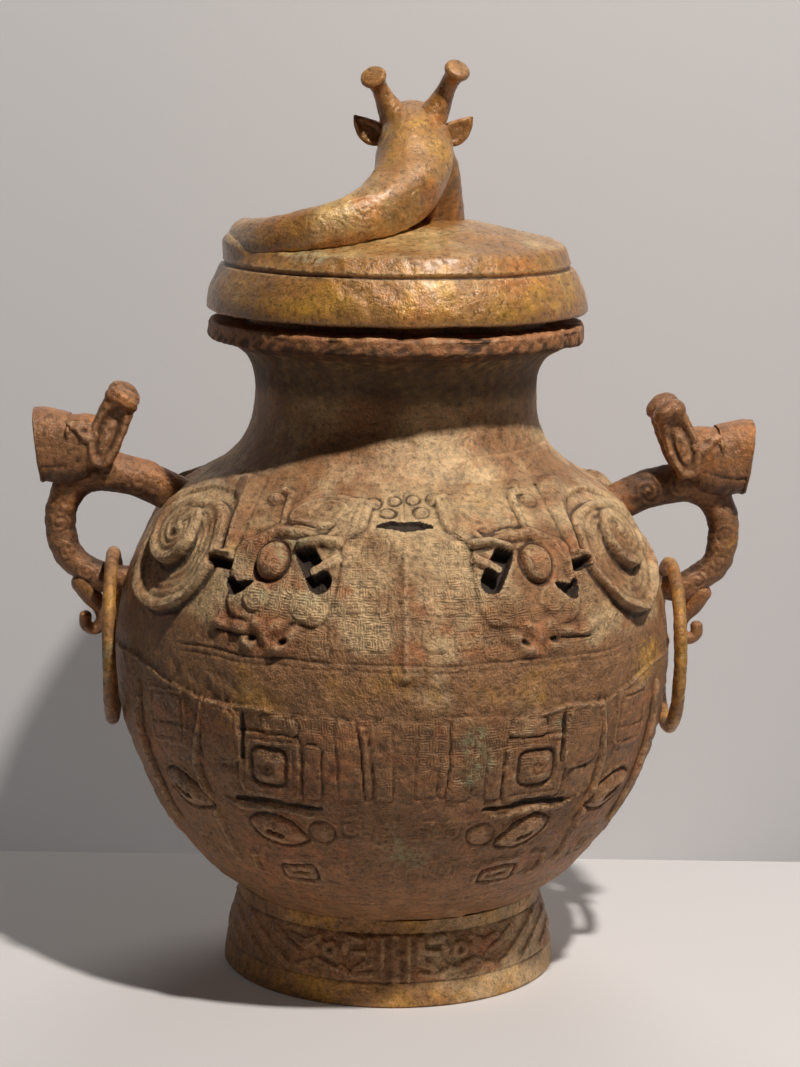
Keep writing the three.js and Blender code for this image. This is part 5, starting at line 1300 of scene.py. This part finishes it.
for side_name, mirror in (("right", False), ("left", True)):
    rows = shifted(HEAD_ROWS, HANDLE_SHIFTS[side_name])
    shape = tube(rows, steps=80, around=96, across=FRONT_TO_BACK, square=0.72, cap=0.06)
    _, along, angle = shape
    painted_shade = 0.7 * soft(np.abs(angle - 270) - 60, 60)  # painted shade under the chin
    carving = head_carving(along, angle)
    made = bronze_form(
        f"beast_head_{side_name}", shape, carving, wear=0.5, seed=30, mirror=mirror, dark=painted_shade, red=0.6
    )
    set_piece(made, *HANDLE_PIECE, f"handle_head_{side_name}")
    for end_name, hand in (("front", 1), ("back", -1)):
        rows = [(x, y * hand, *rest) for x, y, *rest in shifted(EAR_ROWS, HANDLE_SHIFTS[side_name])]
        shape = tube(rows, steps=80, around=56, across=EAR_ACROSS, square=0.9, cap=0.7)
        carving = ear_carving(shape[1], shape[2] * hand)
        place = f"{side_name}_{end_name}"
        made = bronze_form(f"beast_ear_{place}", shape, carving, wear=0.5, seed=34, mirror=mirror, tone=0.4)
        set_piece(made, *HANDLE_PIECE, f"handle_ear_{place}")


# The free rings: plain round bronze rod closed into rings, rough with rust, that hang on the handles' bars.
# Each swings about the bar it hangs on.
RING_OUT = 154
RING_LEVEL = 181.7
RING_RADIUS = 45
RING_HALF = (3.6, 4.1)  # of the rod, along X and away from the ring's middle
RING_GRID = (181, 37)  # points round the ring and round the rod
RING_WAVES = ((0.16, 14), (0.14, 4.5), (0.08, 2.4))
RING_MARKS = {"tone": 0.4, "gold": 0.74, "red": 0.5}


def ring_form(name, sign, up, seed):
    """A ring of oval rod: the rod's angle runs across the columns and the ring's up the rows."""
    turn, rod = np.meshgrid(*(np.linspace(0, 2 * np.pi, count) for count in RING_GRID), indexing="ij")
    out = RING_RADIUS + RING_HALF[1] * np.cos(rod)
    aside = sign * RING_OUT + RING_HALF[0] * np.sin(rod)
    points = np.stack([aside, out * np.cos(turn), RING_LEVEL + up + out * np.sin(turn)], axis=-1)
    height = worn(points, seed, *RING_WAVES)
    points = carved(points, height)
    for wrap in (points, height):
        wrap[-1], wrap[:, -1] = wrap[0], wrap[:, 0]
    uv = np.stack([rod * 0.04, turn * 0.45], axis=-1)
    green = 0.15 + 0.5 * bell(turn - 3.3, 0.5)
    return surface(name, points, uv, {"relief": hollows(height, 3, 0.5), "green": green, **RING_MARKS}, True)


for side_name, sign, seed in (("right", 1, 40), ("left", -1, 44)):
    made = ring_form(f"lifting_ring_{side_name}", sign, HANDLE_SHIFTS[side_name], seed)
    set_piece(made, f"{side_name}_ring", "handle_bronze", handle_finish, f"ring_{side_name}")


# The tipping handle low on the back: a short arch of bronze with a small horned ox head over its upper end,
# cast on its own and locked through the wall like the others.
ARCH_ROWS = (
    (0, 126, 110.5, 7.4, 6), (0, 134, 107.5, 7.4, 6), (0, 142, 102.5, 7.2, 5.6), (0, 147.6, 94, 7, 5.4),
    (0, 147, 84.5, 6.8, 5.2), (0, 140.5, 76.5, 6.6, 5), (0, 128, 71.5, 6.4, 5), (0, 110, 67.5, 6.4, 5),
)
OX_ROWS = (
    (0, 130, 112, 8, 5), (0, 135, 110.5, 10.4, 8), (0, 141, 107, 10.6, 8.4), (0, 147, 102.4, 8.8, 7.2),
    (0, 150.4, 99.2, 8, 6),
)
OX_HORN_ROWS = (
    (6, 137, 112, 3, 3), (11, 139, 113.4, 2.8, 2.8), (14.4, 141, 114.6, 2, 2), (15.4, 143, 115.2, 1.2, 1.2),
)
OX_HORN_ACROSS = (0, 0.3, 1)
OX_RADIUS = 9  # for lengths round the head
OX_SPOTS = ((9, 2.6, 1.6), (21, 1.3, -1.2))  # eye and nostril: length along, radius and rise


def ox_carving(along, angle):
    """Two eye bosses and two nostrils."""
    height = np.zeros(along.shape)
    for flank in (52, 128):
        for place, half, by in OX_SPOTS:
            away = np.hypot(along - place, np.radians(angle - flank) * OX_RADIUS)
            height = height + round_boss(away, half, by)
    return height


shape = tube(ARCH_ROWS, steps=80, around=48, across=SIDE_TO_SIDE)
made = bronze_form("tipping_arch", shape, 0, wear=0.5, seed=50)
set_piece(made, *HANDLE_PIECE, "tipping_handle")
shape = tube(OX_ROWS, steps=50, around=64, across=SIDE_TO_SIDE, square=0.85, cap=0.3)
made = bronze_form("ox_head", shape, ox_carving(*shape[1:]), wear=0.4, seed=54)
set_piece(made, *HANDLE_PIECE)
for side_name, mirror in (("right", False), ("left", True)):
    shape = tube(OX_HORN_ROWS, steps=24, around=24, across=OX_HORN_ACROSS)
    made = bronze_form(f"ox_horn_{side_name}", shape, 0, wear=0.2, seed=58, mirror=mirror)
    set_piece(made, *HANDLE_PIECE)


# The lid: a low flat-topped dome, cast hollow, with a collar that drops into the mouth. A dragon's body is
# cast as one with its upper half: it winds once round from the tail in front, rising all the way.
LID_COLOURS = {
    "Brown": (0.38, 0.185, 0.062), "Olive": (0.60, 0.40, 0.18), "Ochre": (0.70, 0.39, 0.085),
    "Rust": (0.50, 0.21, 0.065), "Soot": (0.05, 0.028, 0.014), "Worn": (0.62, 0.43, 0.22),
    "Verdigris": (0.44, 0.47, 0.30),
}
LID_SHINE = {"Specular IOR Level": 0.7, "Coat Weight": 0.25, "Coat Roughness": 0.3}  # more than the jar's
LID_EDGE = 364.5
LID_RADIUS = 103
GROOVE_RADIUS = 94.5
GROOVE_LEVEL = 389.5
LID_SHOULDER_RADIUS = 87.5
LID_SHOULDER_LEVEL = 398.8
LID_CROWN_RADIUS = 34
LID_CROWN_LEVEL = 410.5
LID_TOP = 412.3
COLLAR_FOOT = 345.8
COLLAR_GAP = 0.4
LID_WALL = 4.5
LID_COLUMNS = 465
LID_STEP = 0.8  # between rows
COLLAR_STEP = 3
VAULT_STEP = 8
BODY_RISE = 7  # of the body where the neck leaves it
TAIL_AZIMUTH = -38
BODY_TURN = 300  # degrees from the tail to where the neck leaves the body
BODY_END = 335
PALE_LEVEL = 397  # the top is paler from here up
GOLD_LEVEL = 378  # the side is most golden here
GREEN_AZIMUTH = -33  # of the green line under the neck
GREEN_LEVEL = 397
STREAK_RADIUS = 62  # of the middle of the streaks on the top
STREAK_LEVEL = 396
SOOT_TOP = 396  # of the soot inside

lid_finish = bronze("lid_patina", LID_COLOURS, metallic=0.16, gloss=1.15, depth=0.0006)
for key, value in LID_SHINE.items():
    lid_finish.node_tree.nodes["Principled BSDF"].inputs[key].default_value = value
LID_PIECE = ("lid_with_dragon", "lid_bronze", lid_finish)  # body, slot and finish


def collar_radius(level):
    """Outer radius of the collar, a little less than the mouth's."""
    return np.interp(level, (THROAT_LEVEL, RIM_LEVEL), (NECK_RADIUS, MOUTH_RADIUS)) - COLLAR_GAP


def body_share(azimuth):
    """How far round the body has come, 0 at the tail and 1 where the neck leaves it."""
    round_from_tail = (azimuth - TAIL_AZIMUTH) % 360
    return np.clip(round_from_tail / BODY_TURN, 0, 1) * soft(round_from_tail - BODY_END, 40)


def lid_height(azimuth, radius, level, points):
    """The body's swell over the shoulder, the groove under it, streaks on the top, and unevenness."""
    over = soft(GROOVE_LEVEL + 4 - level, 9) * soft(30 - radius, 40)
    outside = soft(LID_EDGE - 0.5 - level, 1) * soft(radius - LID_RADIUS - 2, 1)
    groove = -2.4 * soft(np.hypot(radius - GROOVE_RADIUS, level - GROOVE_LEVEL) - 0.9, 1.5)
    swell = BODY_RISE * body_share(azimuth) * over
    streak = 0.16 * np.sin(radius * 1.3 + np.radians(azimuth) * 3 + 3.5 * unevenness(points, 26, 60))
    streak = streak * soft(np.abs(radius - STREAK_RADIUS) - 20, 10) * soft(STREAK_LEVEL - level, 4)
    return (swell + groove + streak + worn(points, 61, (0.3, 34), (0.14, 8), (0.07, 3))) * outside


def lid_marks(azimuth, radius, level, height):
    """Golden sides with rust, a paler top, green in the line under the neck, and some soot inside."""
    top = soft(PALE_LEVEL - level, 4)
    from_line = np.radians(wrapped(azimuth - GREEN_AZIMUTH)) * radius
    inside = soft(radius - collar_radius(RIM_LEVEL), 2) * soft(level - SOOT_TOP, 6)
    return {
        "relief": np.clip(hollows(height, 3) - 0.5 * inside, -1, 1), "tone": 0.15 + 0.5 * top,
        "gold": 0.5 - 0.25 * top + 0.2 * soft(np.abs(level - GOLD_LEVEL) - 8, 8), "red": 0.55 - 0.25 * top,
        "green": 0.2 + 0.7 * bell(from_line, 26) * bell(level - GREEN_LEVEL, 5),
    }


collar_foot, collar_top = collar_radius(COLLAR_FOOT), collar_radius(RIM_LEVEL)
vault = [
    (0, LID_TOP - LID_WALL), (LID_CROWN_RADIUS, LID_CROWN_LEVEL - LID_WALL),
    (LID_SHOULDER_RADIUS - 5, LID_SHOULDER_LEVEL - 5), (GROOVE_RADIUS - 5, GROOVE_LEVEL - 5),
    (LID_RADIUS - 9, LID_EDGE + LID_WALL + 2),
]
collar = [
    (collar_foot - LID_WALL + 1, LID_EDGE + LID_WALL), (collar_foot - LID_WALL, COLLAR_FOOT),
    (collar_foot, COLLAR_FOOT), (collar_top, RIM_LEVEL), (collar_top, LID_EDGE),
]
edge = [(LID_RADIUS - 1, LID_EDGE), (LID_RADIUS, LID_EDGE + 1)]
side = bezier([
    (LID_RADIUS, LID_EDGE + 3), (LID_RADIUS - 0.6, LID_EDGE + 11), (GROOVE_RADIUS + 4, GROOVE_LEVEL - 7),
    (GROOVE_RADIUS, GROOVE_LEVEL),
], 12)
upper = [
    (LID_SHOULDER_RADIUS + 2.4, LID_SHOULDER_LEVEL - 3.4),
    (LID_SHOULDER_RADIUS + 0.6, LID_SHOULDER_LEVEL - 1),
    (LID_SHOULDER_RADIUS - 1.6, LID_SHOULDER_LEVEL + 0.2),
    (LID_CROWN_RADIUS, LID_CROWN_LEVEL), (LID_CROWN_RADIUS - 12, LID_TOP - 0.5), (0, LID_TOP),
]
lid_steps = [VAULT_STEP] * len(vault) + [COLLAR_STEP] * len(collar)
lid_steps += [LID_STEP] * (len(edge) + len(side) + len(upper) - 1)
lid_profile = [*vault, *collar, *edge, *side, *upper]
made = round_piece("lid_dome", lid_profile, lid_steps, lid_height, lid_marks, LID_COLUMNS)
set_piece(made, *LID_PIECE, "lid")


# The dragon on the lid: its neck rises from the coil at the front left, sweeps up across the front and turns
# to a raised head that looks away. Chest and bent forelegs rest on the far side. Cast as one with the lid.
# Courses are as the handles' are; those of horn, ear and foreleg have their x from the head's middle.
NECK_ROWS = (
    (-66, 52, 400, 9.5, 9), (-80, 22, 400.5, 10.5, 9.5), (-81, -8, 401, 11, 10), (-70, -38, 403, 12, 11),
    (-50, -53, 408, 12.5, 12.5), (-30, -53, 413.5, 13.5, 14), (-11, -44, 421, 15.5, 16),
    (3, -27, 432.5, 17.5, 18.6), (8, -10, 446, 18.4, 20.4), (8.6, 4, 456, 17, 18.6),
    (8.4, 12, 461.5, 14.5, 16),
)
CHEST_ROWS = (
    (13, 2, 449, 16, 14), (16, 6, 436, 17.5, 15), (17.5, 10, 423, 18, 16), (18, 13, 410, 19, 17),
    (18, 14, 402, 18, 16),
)
SKULL_ROWS = (
    (8, 2, 455, 12, 11), (8, 7, 457, 16.4, 16.4), (8, 13, 458, 18.4, 17.6), (8, 20, 458, 18.8, 17.4),
    (8, 30, 455, 17.6, 15), (8, 42, 451, 14.6, 12), (8, 51, 448, 12, 10), (8, 55, 446.6, 10.6, 9),
)
HORN_ROWS = (
    (6.5, 5, 460.6, 9.4, 9.4), (10.2, 4.5, 467.6, 8.6, 8.6), (13.6, 3.6, 474.2, 6.8, 6.8),
    (16.6, 2, 480.6, 5.3, 5.3), (19, 0, 486, 4.7, 4.7), (20.8, -2, 489.4, 5.2, 5.2),
    (21.8, -3.6, 491.4, 6.8, 6.8), (22.4, -4.6, 492.6, 7, 7), (22.9, -5.5, 493.6, 6.3, 6.3),
)
HORN_BASE = HORN_ROWS[0][2]
LEFT_HORN_SHARE = 0.87  # the left horn is the shorter one
DRAGON_EAR_ROWS = (
    (15.5, 9.4, 455, 4, 2.4), (20.5, 9.4, 457.6, 6.8, 2.6), (25, 9.4, 460.6, 6.4, 2.4),
    (29, 9.4, 464.4, 3.8, 1.7), (31.6, 9.4, 467.6, 1.0, 0.8),
)
DRAGON_EAR_ACROSS = (-0.5, 0, 0.85)
FORELEG_ROWS = (
    (9.5, 12, 434, 7, 7.5), (15, 20, 427, 6.4, 6.6), (16.5, 31, 418, 5.6, 5.6), (16, 40, 412.5, 5, 4.8),
    (15.5, 46, 411.6, 5.6, 4),
)
HEAD_X = 8
NECK_ACROSS = (0.3, 0.3, 0.9)
SCROLLS_RADIUS = 15  # for lengths round the neck
SKULL_RADIUS = 15
DRAGON_EAR_RADIUS = 5
NECK_SCROLLS = (  # length along, angle, radius and hand
    (150, 80, 10, 1), (128, 95, 8, -1), (176, 95, 10, 1), (200, 70, 8, -1),
)
NAPE_START = 212  # length along the neck
SKULL_EYE = 34  # length along the skull
SKULL_MOUTH = ((28, 5, 0.8), (12, 6, 0.9), (2, 9, 0.5))  # along from the eye, round the skull, half-breadth


def neck_carving(along, angle):
    """Incised scrolls along the outer side, which lies near 90 degrees, and fine lines along the nape."""
    height = np.zeros(along.shape)
    for place, turn, half, hand in NECK_SCROLLS:
        x, y = along - place, np.radians(angle - turn) * SCROLLS_RADIUS
        height = height - 0.3 * spiral_lines(x, y, 3.4, half, False, hand)
    return height + 0.2 * np.sin(np.radians(angle) * 26 + 0.05 * along) * soft(NAPE_START - along, 24)


def skull_carving(along, angle):
    """Eye bosses, nostrils and a mouth line; the angle is 0 and 180 at the sides and 90 on one flat."""
    height = np.zeros(along.shape)
    for flank, sense in FLANKS:
        x, y = along - SKULL_EYE, np.radians(angle - flank) * SKULL_RADIUS * sense
        eye = np.hypot(x, y + 4)
        height = lined(height + round_boss(eye, 5, 3), eye, out=6.2, half=0.5, deep=0.8, edge=1)
        height = cut(height, stroke(x, y, SKULL_MOUTH), deep=1.3, edge=1.2)
        height = cut(height, np.hypot(x - 23, y + 5) - 1.6, deep=1.4, edge=1.2)
    return height


shape = tube(NECK_ROWS, steps=260, around=120, across=NECK_ACROSS, square=0.86, cap=0.5)
carving = neck_carving(*shape[1:])
made = bronze_form("dragon_neck", shape, carving, wear=0.4, seed=70, gold=0.5, tone=0.5, red=0.5)
set_piece(made, *LID_PIECE, "dragon_body")
shape = tube(CHEST_ROWS, steps=60, around=72, across=SIDE_TO_SIDE)
# painted shade: the chest, behind and under the neck, is darkened
made = bronze_form("dragon_chest", shape, 0, wear=0.5, seed=74, dark=0.45)
set_piece(made, *LID_PIECE)
shape = tube(SKULL_ROWS, steps=110, around=96, across=SIDE_TO_SIDE, square=0.9, cap=0.4)
carving = skull_carving(*shape[1:])
made = bronze_form("dragon_skull", shape, carving, wear=0.5, seed=78, gold=0.45, tone=0.25, red=0.55)
set_piece(made, *LID_PIECE, "dragon_head")
for side_name, mirror, horn_share in (("right", False, 1), ("left", True, LEFT_HORN_SHARE)):
    rows = [(x, y, HORN_BASE + (z - HORN_BASE) * horn_share, *halves) for x, y, z, *halves in HORN_ROWS]
    shape = tube(rows, steps=70, around=40, across=FRONT_TO_BACK, cap=0.12)
    made = bronze_form(f"dragon_horn_{side_name}", shape, 0, wear=0.35, seed=82, mirror=mirror, aside=HEAD_X)
    set_piece(made, *LID_PIECE, f"horn_{side_name}")
    shape = tube(DRAGON_EAR_ROWS, steps=50, around=36, across=DRAGON_EAR_ACROSS, cap=0.5)
    _, along, angle = shape
    dish = -1.4 * soft(oval(along - 9, np.radians(angle - 90) * DRAGON_EAR_RADIUS, 8, 3), 2.4)
    ear_name = f"dragon_leaf_ear_{side_name}"
    made = bronze_form(ear_name, shape, dish, wear=0.35, seed=82, mirror=mirror, aside=HEAD_X)
    set_piece(made, *LID_PIECE, f"dragon_ear_{side_name}")
    leg_name = f"dragon_foreleg_{side_name}"
    shape = tube(FORELEG_ROWS, steps=50, around=40, across=SIDE_TO_SIDE)
    made = bronze_form(leg_name, shape, 0, wear=0.4, seed=86, mirror=mirror, aside=HEAD_X)
    set_piece(made, *LID_PIECE)
